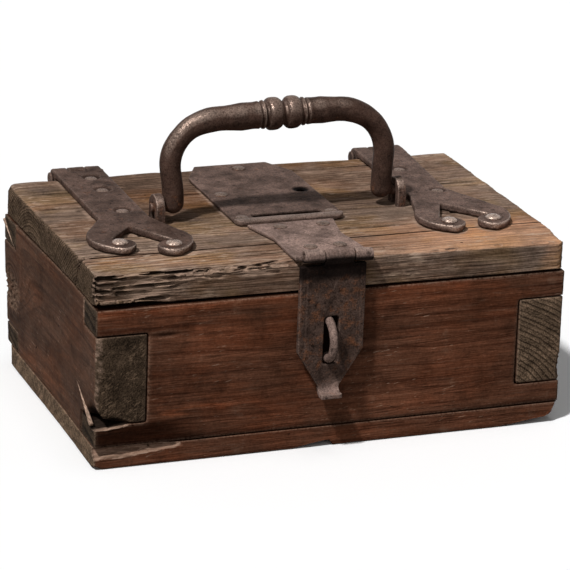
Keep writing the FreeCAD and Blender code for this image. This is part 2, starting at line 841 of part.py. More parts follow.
def plate_front():
    """Y of the coin slot plate's front edge."""
    return FRONT + size("hasp_strap_length") + size("plate_gap")


def plate_back():
    """Y of the coin slot plate's back edge."""
    return BACK - size("plate_margin")


def slot_box():
    """Low and high corners of the coin slot in plan."""
    middle = size("plate_shift") + size("slot_shift")
    half = size("slot_length") / 2
    low = plate_front() + size("slot_edge")
    return middle - half, low, middle + half, low + size("slot_width")


def plate_nails(doc):
    """Nails of the coin slot plate: two in front, one at the left side, one at the back."""
    middle = size("plate_shift")
    half = size("plate_width") / 2
    front = plate_front()
    near = half - size("plate_front_nail_in")
    spots = [(middle - near, front + size("plate_front_nail_up")),
             (middle + near, front + size("plate_front_nail_up")),
             (middle - half + size("plate_side_nail_in"), front + size("plate_side_nail_up")),
             (middle + size("plate_back_nail_shift"), plate_back() - size("plate_back_nail_in"))]
    top = LID_TOP + size("plate_thickness")
    bite = size("lid_nail_bite") + size("plate_thickness")
    nails = []
    for index, (x, y) in enumerate(spots):
        nails.append(upright_nail(doc, f"plate_nail_{index}", x, y, top, bite))
    return compound(doc, "slot_plate_nails", nails)


def coin_slot_plate(doc, nails):
    """Sheet iron plate around the coin slot, with one nail hole left open."""
    middle = size("plate_shift")
    half = size("plate_width") / 2
    front = plate_front()
    back = plate_back()
    across = size("plate_clip_across")
    along = size("plate_clip_along")
    corner = size("plate_corner")
    turn = corner * QUARTER
    body = new_body(doc, "slot_plate_blank")
    sketch = new_sketch(body, "plan", "XY_Plane", LID_TOP)
    draw(sketch, [(middle - half + corner, front), (middle + half - corner, front, turn),
                  (middle + half, front + corner), (middle + half, back - along),
                  (middle + half - across, back), (middle - half + across, back),
                  (middle - half, back - along), (middle - half, front + corner, turn)])
    draw(sketch, rectangle(*slot_box()))
    draw_circle(sketch, middle + half - size("plate_side_nail_in"), front + size("plate_side_nail_up"),
                size("nail_hole") / 2)
    pad(body, sketch, size("plate_thickness"))
    return cut(doc, "coin_slot_plate", body, (nails,))


def slot_mortise(doc):
    """The coin slot's way down through the lid."""
    low_x, low_y, high_x, high_y = slot_box()
    return block(doc, "slot_mortise", (low_x, low_y, SEAT), (high_x, high_y, LID_TOP))


def hasp_strap_nails(doc):
    """Four nails that hold the hasp's strap to the lid."""
    middle = size("hasp_shift")
    top = LID_TOP + size("hasp_strap_thickness")
    bite = size("lid_nail_bite") + size("hasp_strap_thickness")
    nails = []
    for row in ("rear", "front"):
        for side in (-1, 1):
            x = middle + size(f"hasp_{row}_nail_spread") * side
            y = FRONT + size(f"hasp_{row}_nail_reach")
            nails.append(upright_nail(doc, f"hasp_{row}_nail_{len(nails)}", x, y, top, bite))
    return compound(doc, "hasp_strap_nails", nails)


def barrel_bore(doc, name):
    """Bore through the hasp's barrel."""
    half = size("barrel_length") / 2
    middle = size("hasp_shift")
    radius = size("hasp_pin") / 2 + size("pin_fit")
    return rod(doc, name, middle - half, middle + half, HASP_Y, HASP_Z, radius)


def hasp_strap(doc, nails):
    """Waisted strap on the lid whose front edge is rolled into the barrel's outer knuckles."""
    middle = size("hasp_shift")
    rear = middle + size("hasp_strap_lean")
    back = size("hasp_strap_back") / 2
    waist = size("hasp_strap_waist") / 2
    front = size("hasp_strap_front") / 2
    barrel = size("barrel_length") / 2
    rear_y = FRONT + size("hasp_strap_length")
    waist_y = FRONT + size("hasp_waist_reach")
    body = new_body(doc, "hasp_strap_blank")
    sketch = new_sketch(body, "plan", "XY_Plane", LID_TOP)
    draw(sketch, [(middle - barrel, HASP_Y), (middle + barrel, HASP_Y), (middle + barrel, FRONT),
                  (middle + front, FRONT), (rear + waist, waist_y), (rear + back, rear_y),
                  (rear - back, rear_y), (rear - waist, waist_y), (middle - front, FRONT),
                  (middle - barrel, FRONT)])
    pad(body, sketch, size("hasp_strap_thickness"))
    roll = new_sketch(body, "roll", "YZ_Plane", middle - barrel)
    draw_circle(roll, HASP_Y, HASP_Z, size("barrel_radius"))
    pad(body, roll, size("barrel_length"))
    half = size("barrel_share") / 2 + size("knuckle_gap")
    reach = size("barrel_radius") + size("barrel_clear")
    notch = block(doc, "hasp_strap_notch", (middle - half, HASP_Y - reach, HASP_Z - reach),
                  (middle + half, FRONT, HASP_Z + reach))
    return cut(doc, "hasp_strap", body, (notch, barrel_bore(doc, "hasp_strap_bore"), nails))


def hasp_plate(doc):
    """Swinging plate: straight sides, a taper, a lip curled outwards and a slot for the staple."""
    barrel_middle = size("hasp_shift")
    middle = size("hasp_plate_shift") + barrel_middle
    half = size("hasp_plate_width") / 2
    tip = size("hasp_tip_width") / 2
    tongue = size("barrel_share") / 2
    thick = size("hasp_plate_thickness")
    face = HASP_Y - thick / 2
    back = face + thick
    low = HASP_Z - size("hasp_drop")
    straight = HASP_Z - size("hasp_straight")
    shoulder = HASP_Z - size("hasp_shoulder")
    curl = size("hasp_curl")
    body = new_body(doc, "hasp_plate_blank")
    sketch = new_sketch(body, "front", "XZ_Plane", -back)
    draw(sketch, [(middle - tip, low), (middle + tip, low), (middle + half, straight),
                  (middle + half, shoulder), (barrel_middle + tongue, shoulder),
                  (barrel_middle + tongue, HASP_Z), (barrel_middle - tongue, HASP_Z),
                  (barrel_middle - tongue, shoulder),
                  (middle - half, shoulder), (middle - half, straight)])
    slot = size("hasp_slot_width") / 2
    staple_half = (size("lock_span") + size("lock_wire")) / 2
    slot_high = size("lock_height") + staple_half + size("hasp_slot_over")
    slot_low = size("lock_height") - staple_half - size("hasp_slot_under")
    corner = size("hasp_slot_corner")
    draw(sketch, rounded_rectangle(middle - slot, slot_low, middle + slot, slot_high, corner))
    pad(body, sketch, thick)
    lip = new_sketch(body, "lip", "YZ_Plane", middle - tip)
    outer = curl + thick
    end = face - curl - size("hasp_lip")
    draw(lip, [(face, low, -curl * QUARTER), (face - curl, low - curl), (end, low - curl), (end, low - outer),
               (face - curl, low - outer, outer * QUARTER), (back, low)])
    pad(body, lip, size("hasp_tip_width"))
    roll = new_sketch(body, "roll", "YZ_Plane", barrel_middle - tongue)
    draw_circle(roll, HASP_Y, HASP_Z, size("barrel_radius"))
    pad(body, roll, size("barrel_share"))
    return cut(doc, "hasp_plate", body, (barrel_bore(doc, "hasp_plate_bore"),))


def hasp_pin(doc):
    """Pin through the hasp's barrel."""
    half = size("barrel_length") / 2
    middle = size("hasp_shift")
    return rod(doc, "hasp_pin", middle - half, middle + half, HASP_Y, HASP_Z, size("hasp_pin") / 2)


def lock_x():
    """X of the padlock staple, in the middle of the hasp's slot."""
    return size("hasp_shift") + size("hasp_plate_shift")


def padlock_staple(doc):
    """Round wire loop through the front board, clenched inside the box."""
    half = size("lock_span") / 2
    wire = size("lock_wire") / 2
    bend = size("lock_bend")
    low = size("lock_height") - half
    high = size("lock_height") + half
    loop_y = FRONT - size("lock_reach") + wire + half
    inside = FRONT + size("front_thickness")
    end = bend + size("lock_clench")
    body = new_body(doc, "padlock_staple")
    section = new_sketch(body, "section", "XY_Plane", high + end)
    draw_circle(section, lock_x(), inside + bend, wire)
    spine = new_sketch(body, "spine", "YZ_Plane", lock_x())
    draw(spine, [(inside + bend, high + end), (inside + bend, high + bend, -bend * QUARTER), (inside, high),
                 (loop_y, high, half * QUARTER), (loop_y - half, size("lock_height"), half * QUARTER),
                 (loop_y, low), (inside, low, -bend * QUARTER), (inside + bend, low - bend),
                 (inside + bend, low - end)], closed=False)
    pipe(body, section, spine)
    return body


def lock_holes(doc):
    """Holes for the padlock staple's legs in the front board."""
    holes = []
    for side in (-1, 1):
        hole = doc.addObject("Part::Cylinder", f"lock_hole_{len(holes)}")
        bind(hole, "Radius", size("lock_wire") / 2 + size("lock_fit"))
        bind(hole, "Height", size("front_thickness"))
        place(hole, lock_x(), FRONT, size("lock_height") + size("lock_span") / 2 * side, TO_THE_BACK)
        holes.append(hole)
    return holes


def build_box(doc):
    """Carcass, its nails, the hinge leaves with their pins, and the padlock staple."""
    driven = []
    for index, (x, y) in enumerate(bottom_nail_places()):
        driven.append(bottom_nail(doc, f"bottom_nail_{index}", x, y))
    bottom_nails = compound(doc, "bottom_nails", driven)
    pieces = [bottom_nails, cut(doc, "bottom_board", bottom_blank(doc), (bottom_nails,))]
    front = long_wall(doc, "front_blank", FRONT, size("front_thickness"), inwards=True)
    pieces.append(cut(doc, "front_board", front, [bottom_nails] + lock_holes(doc)))
    left = side_wall(doc, "left_side_blank", -HALF_LENGTH)
    break_corner(left)
    pieces.append(cut(doc, "left_side_board", left, (bottom_nails,)))
    right = side_wall(doc, "right_side_blank", HALF_LENGTH - size("side_thickness"))
    pieces.append(cut(doc, "right_side_board", right, (bottom_nails,)))
    back_tools = [bottom_nails]
    for strap in ("left", "right"):
        nails = leaf_nails(doc, strap)
        pieces += [nails, hinge_leaf(doc, strap, nails), hinge_pin(doc, strap)]
        back_tools.append(nails)
    back = long_wall(doc, "back_blank", BACK, size("back_thickness"), inwards=False)
    pieces.append(cut(doc, "back_board", back, back_tools))
    pieces.append(padlock_staple(doc))
    return pieces


def build_lid(doc):
    """Lid boards and every iron fitting that is fixed to them."""
    pieces = []
    fixings = []
    for strap in ("left", "right"):
        nails = strap_nails(doc, strap)
        pieces += [nails, strap_hinge(doc, strap, nails)]
        fixings.append(nails)
    for side, name in ((-1, "left_handle_staple"), (1, "right_handle_staple")):
        staple = handle_staple(doc, name, side)
        pieces.append(staple)
        fixings.append(staple)
    slot_nails = plate_nails(doc)
    hasp_nails = hasp_strap_nails(doc)
    fixings += [slot_nails, hasp_nails, slot_mortise(doc)]
    pieces += [slot_nails, coin_slot_plate(doc, slot_nails)]
    pieces += [hasp_nails, hasp_strap(doc, hasp_nails), hasp_pin(doc)]
    blanks = {"lid_back_board": lid_back_blank(doc), "lid_middle_board": lid_middle_blank(doc),
              "lid_front_strip": lid_front_blank(doc)}
    for name, blank in blanks.items():
        pieces.append(cut(doc, name, blank, fixings))
    return pieces


def check(doc, pieces):
    """Stops if any object failed or any piece is empty or unsound."""
    for item in doc.Objects:
        if "Invalid" in item.State or "Error" in item.State:
            raise RuntimeError(f"{item.Label} failed: {item.State}")
    for piece in pieces:
        if piece.Shape.isNull() or not piece.Shape.isValid():
            raise RuntimeError(f"{piece.Label} is not a sound solid")


def main():
    """Builds every piece and writes one STEP file for each."""
    doc = FreeCAD.newDocument("offering_box")
    fill_sheet(doc)
    pieces = build_box(doc) + build_lid(doc) + [bail_handle(doc), hasp_plate(doc)]
    doc.recompute()
    check(doc, pieces)
    os.makedirs("parts", exist_ok=True)
    for piece in pieces:
        piece.Shape.exportStep(os.path.join("parts", f"{piece.Label}.step"))
        print(f"{piece.Label}: {len(piece.Shape.Solids)} solids, {piece.Shape.Volume / 1000:.2f} cm3")


main()
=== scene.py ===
import math
import random

import bmesh
import bpy
from bpy.props import FloatProperty, FloatVectorProperty, IntProperty, PointerProperty
from mathutils import Matrix, Vector, noise
from mathutils.bvhtree import BVHTree


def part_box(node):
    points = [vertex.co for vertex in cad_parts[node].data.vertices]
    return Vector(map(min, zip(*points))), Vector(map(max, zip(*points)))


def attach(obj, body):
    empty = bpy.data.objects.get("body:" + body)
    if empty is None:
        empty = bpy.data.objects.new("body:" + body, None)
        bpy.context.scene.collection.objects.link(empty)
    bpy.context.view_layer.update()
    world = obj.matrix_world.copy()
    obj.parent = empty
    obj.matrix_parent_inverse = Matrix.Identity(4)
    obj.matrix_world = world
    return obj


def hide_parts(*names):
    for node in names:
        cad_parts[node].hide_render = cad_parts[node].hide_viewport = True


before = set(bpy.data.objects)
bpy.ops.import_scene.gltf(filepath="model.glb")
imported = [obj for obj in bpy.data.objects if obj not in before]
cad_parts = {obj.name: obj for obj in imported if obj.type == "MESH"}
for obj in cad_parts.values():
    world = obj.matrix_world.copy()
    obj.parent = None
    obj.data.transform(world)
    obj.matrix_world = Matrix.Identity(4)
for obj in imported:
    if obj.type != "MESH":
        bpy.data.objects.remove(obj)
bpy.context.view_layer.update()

bl_info = {
    "name": "Offering box",
    "version": (1, 0, 0),
    "blender": (4, 5, 0),
    "location": "3D View > Sidebar > Offering box",
    "description": "Worn boards, forged iron fittings and a studio for the offering box",
    "category": "Object",
}

# Pieces are shaped in millimetres and brought to metres when they are finished.
MM = 0.001
PHOTO_SIDE = 570.0
SENSOR = 36.0


def corners(node):
    """Lowest and highest corner of a CAD node, in millimetres."""
    low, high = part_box(node)
    return low / MM, high / MM


FRONT_LOW, FRONT_HIGH = corners("front_board")
LEFT_LOW, LEFT_HIGH = corners("left_side_board")
RIGHT_LOW, RIGHT_HIGH = corners("right_side_board")
BACK_LOW, BACK_HIGH = corners("back_board")
BOTTOM_LOW, BOTTOM_HIGH = corners("bottom_board")
STRIP_LOW, STRIP_HIGH = corners("lid_front_strip")
LID_LOW, LID_HIGH = STRIP_LOW.z, STRIP_HIGH.z
HALF = FRONT_HIGH.x
FINGER_LOW, FINGER_HIGH = 25.0, 75.0
# A place past every board.
BEYOND = 200.0
# Faces that meet in rounded edges: the axis, the place and the side that each closes.
LEFT_END, RIGHT_END = (0, -HALF, -1), (0, HALF, 1)
LID_TOP, LID_FRONT, LID_BACK = (2, LID_HIGH, 1), (1, STRIP_LOW.y, -1), (1, -STRIP_LOW.y, 1)
# How strongly the wood's edges show their wear.
WOOD_GAIN = 2.2
# Strap nails in front of this line sit on the scrolls.
SCROLL_LINE = -25.0


class OfferingBoxWood(bpy.types.PropertyGroup):
    """Sizes and colours of the boards."""

    stain: FloatVectorProperty(
        name="Stain", description="Light wood between the rings of the box",
        subtype="COLOR", default=(0.156, 0.066, 0.038), min=0.0, max=1.0)
    stain_late: FloatVectorProperty(
        name="Stain in the rings", description="Dark rings of the box boards",
        subtype="COLOR", default=(0.056, 0.021, 0.012), min=0.0, max=1.0)
    grey: FloatVectorProperty(
        name="Weathered lid", description="Light wood between the rings of the lid",
        subtype="COLOR", default=(0.312, 0.220, 0.167), min=0.0, max=1.0)
    grey_late: FloatVectorProperty(
        name="Weathered rings", description="Dark rings of the lid boards",
        subtype="COLOR", default=(0.090, 0.058, 0.042), min=0.0, max=1.0)
    side: FloatVectorProperty(
        name="Side boards", description="Light wood of the side boards",
        subtype="COLOR", default=(0.106, 0.056, 0.037), min=0.0, max=1.0)
    side_late: FloatVectorProperty(
        name="Side rings", description="Dark rings of the side boards",
        subtype="COLOR", default=(0.048, 0.026, 0.018), min=0.0, max=1.0)
    end: FloatVectorProperty(
        name="End grain", description="Weathered end grain",
        subtype="COLOR", default=(0.168, 0.112, 0.073), min=0.0, max=1.0)
    end_late: FloatVectorProperty(
        name="End rings", description="Dark rings in the end grain",
        subtype="COLOR", default=(0.036, 0.024, 0.016), min=0.0, max=1.0)
    bare: FloatVectorProperty(
        name="Bare wood", description="Wood laid bare where it broke",
        subtype="COLOR", default=(0.42, 0.285, 0.205), min=0.0, max=1.0)
    ring_width: FloatProperty(
        name="Ring width", description="Yearly rings of the box boards, in millimetres",
        default=5.2, min=0.5, max=20.0)
    lid_ring_width: FloatProperty(
        name="Lid ring width", description="Yearly rings of the lid boards, in millimetres",
        default=1.7, min=0.5, max=20.0)
    side_ring_width: FloatProperty(
        name="Side ring width", description="Yearly rings of the side boards, in millimetres",
        default=2.5, min=0.5, max=20.0)
    relief: FloatProperty(
        name="Grain relief", description="Depth of the raised grain on the lid, in millimetres",
        default=0.34, min=0.0, max=2.0)
    edge_rounds: IntProperty(
        name="Edge wear", description="How often the edges are smoothed",
        default=3, min=0, max=20)


class OfferingBoxIron(bpy.types.PropertyGroup):
    """Sizes and colours of the iron."""

    iron: FloatVectorProperty(
        name="Iron", description="Dark forged iron",
        subtype="COLOR", default=(0.092, 0.058, 0.046), min=0.0, max=1.0)
    rubbed: FloatVectorProperty(
        name="Rubbed iron", description="Paler iron of the hasp's strap",
        subtype="COLOR", default=(0.226, 0.154, 0.129), min=0.0, max=1.0)
    # Also the colour of the painted highlights on the handle, staples, nails, scroll edges and hasp barrel.
    polish_and_highlight: FloatVectorProperty(
        name="Polish", description="Iron rubbed bright on its edges",
        subtype="COLOR", default=(0.44, 0.33, 0.27), min=0.0, max=1.0)
    rust: FloatVectorProperty(
        name="Rust", description="Brown rust",
        subtype="COLOR", default=(0.175, 0.072, 0.036), min=0.0, max=1.0)
    hammer: FloatProperty(
        name="Hammer marks", description="Depth of the hammer marks, in millimetres",
        default=0.22, min=0.0, max=2.0)
    voxel: FloatProperty(
        name="Fineness", description="Cell of the iron's skin, in millimetres",
        default=0.75, min=0.3, max=3.0)


class OfferingBoxStage(bpy.types.PropertyGroup):
    """Camera, floor and light."""

    focal: FloatProperty(
        name="Focal length", description="Focal length in pixels of the picture",
        default=2819.0)
    yaw: FloatProperty(
        name="Yaw", description="How far the camera stands round to the left",
        subtype="ANGLE", default=math.radians(-20.96))
    pitch: FloatProperty(
        name="Pitch", description="How far the camera looks down",
        subtype="ANGLE", default=math.radians(19.53))
    roll: FloatProperty(
        name="Roll", description="How far the camera leans",
        subtype="ANGLE", default=math.radians(2.34))
    eye: FloatVectorProperty(
        name="Eye", description="Where the camera stands",
        subtype="TRANSLATION", unit="LENGTH", default=(-0.5350, -1.4019, 0.5959))
    key: FloatProperty(
        name="Key light", description="Strength of the key light",
        default=2.85, min=0.0)
    key_angle: FloatProperty(
        name="Key softness", description="How wide the key light looks from the box",
        subtype="ANGLE", default=math.radians(4.5))
    fill: FloatProperty(
        name="Fill", description="Strength of the light from all round",
        default=0.12, min=0.0)
    top: FloatProperty(
        name="Top light", description="Strength of the light from overhead",
        default=0.28, min=0.0)
    top_angle: FloatProperty(
        name="Top softness", description="How wide the top light looks from the box",
        subtype="ANGLE", default=math.radians(20.0))
    front: FloatProperty(
        name="Front light", description="Strength of the broad light from the front",
        default=0.33, min=0.0)
    front_angle: FloatProperty(
        name="Front softness", description="How wide the front light looks from the box",
        subtype="ANGLE", default=math.radians(60.0))
    floor: FloatVectorProperty(
        name="Floor", description="Colour of the floor",
        subtype="COLOR", default=(1.0, 1.0, 1.0), min=0.0, max=1.0)
    bounce: FloatVectorProperty(
        name="Bounce", description="Colour that the floor throws back on the box",
        subtype="COLOR", default=(0.24, 0.23, 0.22), min=0.0, max=1.0)


def boards():
    """The boards' sizes and colours."""
    return bpy.context.scene.offering_box_wood


def ironwork():
    """The iron's sizes and colours."""
    return bpy.context.scene.offering_box_iron


class Nodes:
    """A node tree, and short ways to add to it."""

    def __init__(self, tree):
        self.tree = tree
        tree.nodes.clear()

    def add(self, kind, inputs=None, **settings):
        node = self.tree.nodes.new(f"ShaderNode{kind}")
        for key, value in settings.items():
            setattr(node, key, value)
        for key, value in (inputs or {}).items():
            self.feed(node.inputs[key], value)
        return node

    def feed(self, socket, value):
        if isinstance(value, bpy.types.NodeSocket):
            self.tree.links.new(value, socket)
        elif socket.type == "RGBA":
            socket.default_value = (*value[:3], 1.0)
        else:
            socket.default_value = value

    def math(self, operation, first, second=0.0, clamp=False):
        return self.add("Math", {0: first, 1: second}, operation=operation, use_clamp=clamp).outputs[0]

    def times(self, first, second, clamp=False):
        return self.math("MULTIPLY", first, second, clamp)

    def plus(self, first, second, clamp=False):
        return self.math("ADD", first, second, clamp)

    def most(self, first, second, clamp=False):
        return self.math("MAXIMUM", first, second, clamp)

    def vector(self, operation, first, second=(0.0, 0.0, 0.0)):
        node = self.add("VectorMath", {0: first, 1: second}, operation=operation)
        return node.outputs["Value"] if operation == "LENGTH" else node.outputs["Vector"]

    def stretch(self, place, factors):
        """A place or a colour, with a factor for each of its three parts."""
        return self.vector("MULTIPLY", place, factors)

    def mix(self, factor, first, second):
        node = self.add("Mix", data_type="RGBA")
        for socket, value in ((0, factor), (6, first), (7, second)):
            self.feed(node.inputs[socket], value)
        return node.outputs[2]

    def span(self, value, low, high, start=0.0, end=1.0):
        """Runs from start to end as a value runs from low to high."""
        return self.add("MapRange", {0: value, 1: low, 2: high, 3: start, 4: end}, clamp=True).outputs[0]

    def shade(self, colour, *span):
        """A colour made darker or lighter by a span."""
        level = self.span(*span)
        return self.add("VectorMath", {0: colour, "Scale": level}, operation="SCALE").outputs[0]

    def cover(self, colour, over, *span):
        """A colour covered by another as far as a span says."""
        return self.mix(self.span(*span), colour, over)

    def curve(self, value, *stops):
        """Grey levels between stops of place and level."""
        node = self.add("ValToRGB", {0: value})
        ramp = node.color_ramp
        while len(ramp.elements) < len(stops):
            ramp.elements.new(1.0)
        for element, (place, level) in zip(ramp.elements, stops):
            element.position = place
            element.color = (level, level, level, 1.0)
        return node.outputs[0]

    def noise(self, place, scale, detail=3.0, rough=0.5, colour=False):
        node = self.add("TexNoise", {"Vector": place, "Scale": scale, "Detail": detail, "Roughness": rough})
        return node.outputs["Color" if colour else 0]

    def in_sight(self):
        """1 for rays from the camera, from mirrors and through glass, and 0 for light that bounces."""
        path = self.add("LightPath").outputs
        seen = self.most(path["Is Camera Ray"], path["Is Glossy Ray"])
        return self.most(seen, path["Is Transmission Ray"])


class Finish(Nodes):
    """A material's nodes round its shader."""

    def __init__(self, name):
        self.material = bpy.data.materials.new(name)
        self.material.use_nodes = True
        super().__init__(self.material.node_tree)
        self.shader = self.add("BsdfPrincipled")
        self.add("OutputMaterial", {"Surface": self.shader.outputs[0]})

    def attribute(self, name):
        return self.add("Attribute", attribute_name=name).outputs["Fac"]

    def millimetres(self):
        return self.stretch(self.add("TexCoord").outputs["Object"], (1.0 / MM, 1.0 / MM, 1.0 / MM))

    def bump(self, height, distance):
        node = self.add("Bump", {"Height": height, "Distance": distance * MM})
        self.feed(self.shader.inputs["Normal"], node.outputs[0])

    def coat(self, sheen, **inputs):
        """Gives the shader a constant sheen and its other inputs."""
        self.shader.inputs["Specular IOR Level"].default_value = sheen
        for key, value in inputs.items():
            self.feed(self.shader.inputs[key.replace("_", " ").title()], value)
        return self.material


def lit(tone, level):
    """A plain colour made lighter or darker."""
    return [min(1.0, c * level) for c in tone]


# What sets the two woods apart: how far the rings wander, their strength, how many lines there are, how dark
# and how pale those are, the level and depth of the splits, the colour of the dirt and painted shade, how far
# the bands, fibres and hairs stand up, the depth of the relief and the range of the roughness.
STAINED = {"warp": 9.0, "rings": 0.42, "lines": 11.0, "dark": 0.4, "pale": 0.25, "split": (0.325, 0.75),
           "dirt": (0.20, 0.175, 0.165), "bands": -0.5, "fibres": 0.6, "hairs": 0.3, "relief": 0.42,
           "rough": (0.42, 0.68)}
WEATHERED = {"warp": 7.0, "rings": 0.70, "lines": 6.0, "dark": 0.45, "pale": 1.0, "split": (0.350, 0.60),
             "dirt": (0.33, 0.20, 0.115), "bands": -0.9, "fibres": 0.8, "hairs": 0.7, "relief": 0.75,
             "rough": (0.60, 0.86)}
WOOD_SHEEN = 0.004
# Near-black colours of soot and of painted shade in breaks, cracks, hollows and under the iron.
WOOD_SOOT_AND_SHADE, IRON_SOOT_AND_SHADE = (0.005, 0.0035, 0.003), (0.004, 0.003, 0.003)
RUBBED_WOOD, CHIPPED_WOOD, TORN_WOOD = (0.41, 0.265, 0.18), (0.60, 0.44, 0.33), (0.63, 0.43, 0.32)


def wood_finish(name, tones, along, pith, width, look, knots=(), speckle=0.0):
    """Solid wood: streaks and rings round a pith along the grain, knots, end grain, wear, dirt, and painted
    light and shade.
    """
    early, late, end_early, end_late, bare = [tuple(tone) for tone in tones]
    paint = Finish(name)
    parts = paint.add("SeparateXYZ", {0: paint.millimetres()}).outputs
    order = ("X", "Y", "Z") if along == "X" else ("Y", "X", "Z")
    turned = paint.add("CombineXYZ", {i: parts[axis] for i, axis in enumerate(order)}).outputs[0]

    def streaks(length, across, detail, rough=0.6):
        return paint.noise(paint.stretch(turned, (length, across, across)), 1.0, detail, rough)

    def stray(length, across, reach):
        """How far the rings wander off across the grain."""
        drift = paint.noise(paint.stretch(turned, (length, across, across)), 1.0, 2.0, colour=True)
        return paint.stretch(paint.vector("SUBTRACT", drift, (0.5, 0.5, 0.5)), (0.0, reach, reach))

    warped = paint.vector("ADD", turned, stray(0.007, 0.022, look["warp"]))
    warped = paint.vector("ADD", warped, stray(0.035, 0.16, width * 0.5))
    from_pith = paint.stretch(paint.vector("SUBTRACT", warped, (0.0, *pith)), (0.0, 1.0, 1.0))
    reach = paint.vector("LENGTH", from_pith)
    cores = []
    for spot, size in knots:
        away = paint.stretch(paint.vector("SUBTRACT", warped, spot), (0.6, 1.0, 1.0))
        near = paint.math("DIVIDE", paint.vector("LENGTH", away), size)
        swell = paint.math("POWER", 2.718, paint.times(paint.times(near, near), -0.35))
        reach = paint.plus(reach, paint.times(swell, size * 1.6))
        cores.append(near)
    ring = paint.math("DIVIDE", reach, width)
    stops = ((0.0, 0.0), (0.50, 0.08), (0.82, 0.9), (0.92, 1.0), (1.0, 0.0))
    lateness = paint.curve(paint.math("FRACT", ring), *stops)
    band_place = paint.add("CombineXYZ", {0: paint.times(parts[along], 0.006), 1: ring}).outputs[0]
    bands = paint.noise(band_place, 1.0, 6.0, 0.68)
    fibre = streaks(0.08, 1.15, 3.0, 0.66)
    hair = streaks(0.035, 1.1, 4.0, 0.66)
    crack = streaks(0.012, 0.62, 5.0, 0.62)
    cloud = streaks(0.015, 0.034, 4.0, 0.62)
    speck = paint.noise(turned, 0.7, 3.0, 0.7)
    end, wear, broken, soot, tone = map(paint.attribute, ("end", "wear", "bare", "soot", "tone"))

    # Sawn faces
    line = paint.span(bands, 0.36, 0.66, 0.0, 0.62)
    ringed = paint.times(lateness, paint.span(cloud, 0.36, 0.64, 0.30, look["rings"]))
    colour = paint.mix(paint.plus(line, ringed, clamp=True), early, late)
    colour = paint.shade(colour, fibre, 0.28, 0.72, 0.72, 1.30)
    colour = paint.shade(colour, speck, 0.30, 0.70, 0.78, 1.24)
    colour = paint.shade(colour, cloud, 0.30, 0.70, 0.74, 1.24)
    if look is WEATHERED:
        rosy = paint.stretch(colour, (0.98, 0.78, 0.64))
        colour = paint.cover(colour, rosy, streaks(0.012, 0.04, 3.0), 0.46, 0.64, 0.0, 0.8)
        ochre = paint.stretch(colour, (1.10, 1.0, 0.70))
        colour = paint.cover(colour, ochre, streaks(0.024, 0.03, 2.0), 0.50, 0.62, 0.0, 0.8)
        rubbed = paint.span(hair, 0.53, 0.70, 0.0, 0.80)
        rubbed = paint.times(rubbed, paint.span(cloud, 0.36, 0.60, 0.25, 1.0))
        colour = paint.mix(rubbed, colour, lit(bare, 1.7))
    else:
        warm = paint.stretch(colour, (1.26, 1.04, 0.90))
        colour = paint.cover(colour, warm, streaks(0.02, 0.05, 3.0), 0.46, 0.66)
    split_level, split_depth = look["split"]
    split = paint.span(crack, split_level, 0.26, 0.0, split_depth)
    lines = paint.math("FRACT", paint.times(streaks(0.0045, 0.085, 3.0, 0.5), look["lines"]))
    dark = paint.curve(lines, (0.0, 0.0), (0.10, 1.0), (0.22, 0.0), (1.0, 0.0))
    dark = paint.times(dark, paint.span(cloud, 0.34, 0.6, 0.25, 0.75))
    pale = paint.curve(lines, (0.45, 0.0), (0.55, 1.0), (0.68, 0.0), (1.0, 0.0))
    pale = paint.times(pale, paint.span(hair, 0.46, 0.62, 0.0, 0.55))
    colour = paint.mix(paint.times(dark, look["dark"]), colour, lit(late, 0.5))
    colour = paint.mix(paint.times(pale, look["pale"]), colour, bare)
    colour = paint.mix(split, colour, lit(late, 0.22))
    leaning = paint.add("Mapping", {"Vector": turned, "Rotation": (0.0, 0.16, 0.13)}).outputs[0]
    scratch = paint.noise(paint.stretch(leaning, (0.03, 1.25, 1.25)), 1.0, 2.0)
    scratch = paint.times(paint.span(scratch, 0.665, 0.72), paint.span(cloud, 0.44, 0.58, 0.0, 0.6))
    nick = paint.most(scratch, paint.span(speck, 0.70, 0.75, 0.0, 0.40))
    colour = paint.mix(nick, colour, bare)
    dirt = paint.noise(turned, 0.055, 6.0, 0.72)
    colour = paint.shade(colour, dirt, 0.50, 0.72, 1.0, 0.50)
    colour = paint.cover(colour, bare, dirt, 0.40, 0.28, 0.0, 0.16)
    for near in cores:
        swirl = paint.math("FRACT", paint.times(near, 4.2))
        swirl = paint.curve(swirl, (0.0, 0.0), (0.7, 0.8), (1.0, 0.1))
        knot = paint.mix(swirl, lit(early, 1.05), lit(late, 0.35))
        colour = paint.cover(colour, knot, near, 0.72, 1.02, 1.0, 0.0)
    # Lighter where the tone is raised: pale rubbed wood, and a painted highlight on the front board's upper
    # edge.
    colour = paint.cover(colour, paint.stretch(colour, (2.20, 1.68, 1.32)), tone, 0.0, 1.0)
    if look is WEATHERED:
        colour = paint.cover(colour, RUBBED_WOOD, tone, 0.2, 1.0, 0.0, 0.30)
        chip = paint.span(streaks(0.10, 0.36, 3.0, 0.7), 0.54, 0.68, 0.0, 0.75)
        chip = paint.times(chip, paint.span(cloud, 0.40, 0.58, 0.15, 1.0))
        colour = paint.mix(chip, colour, CHIPPED_WOOD)
    # Darker where the tone is lowered: dirt, and painted shade on top faces under the lid and on the bottom
    # board's top.
    colour = paint.cover(colour, paint.stretch(colour, look["dirt"]), tone, 0.0, -1.0)

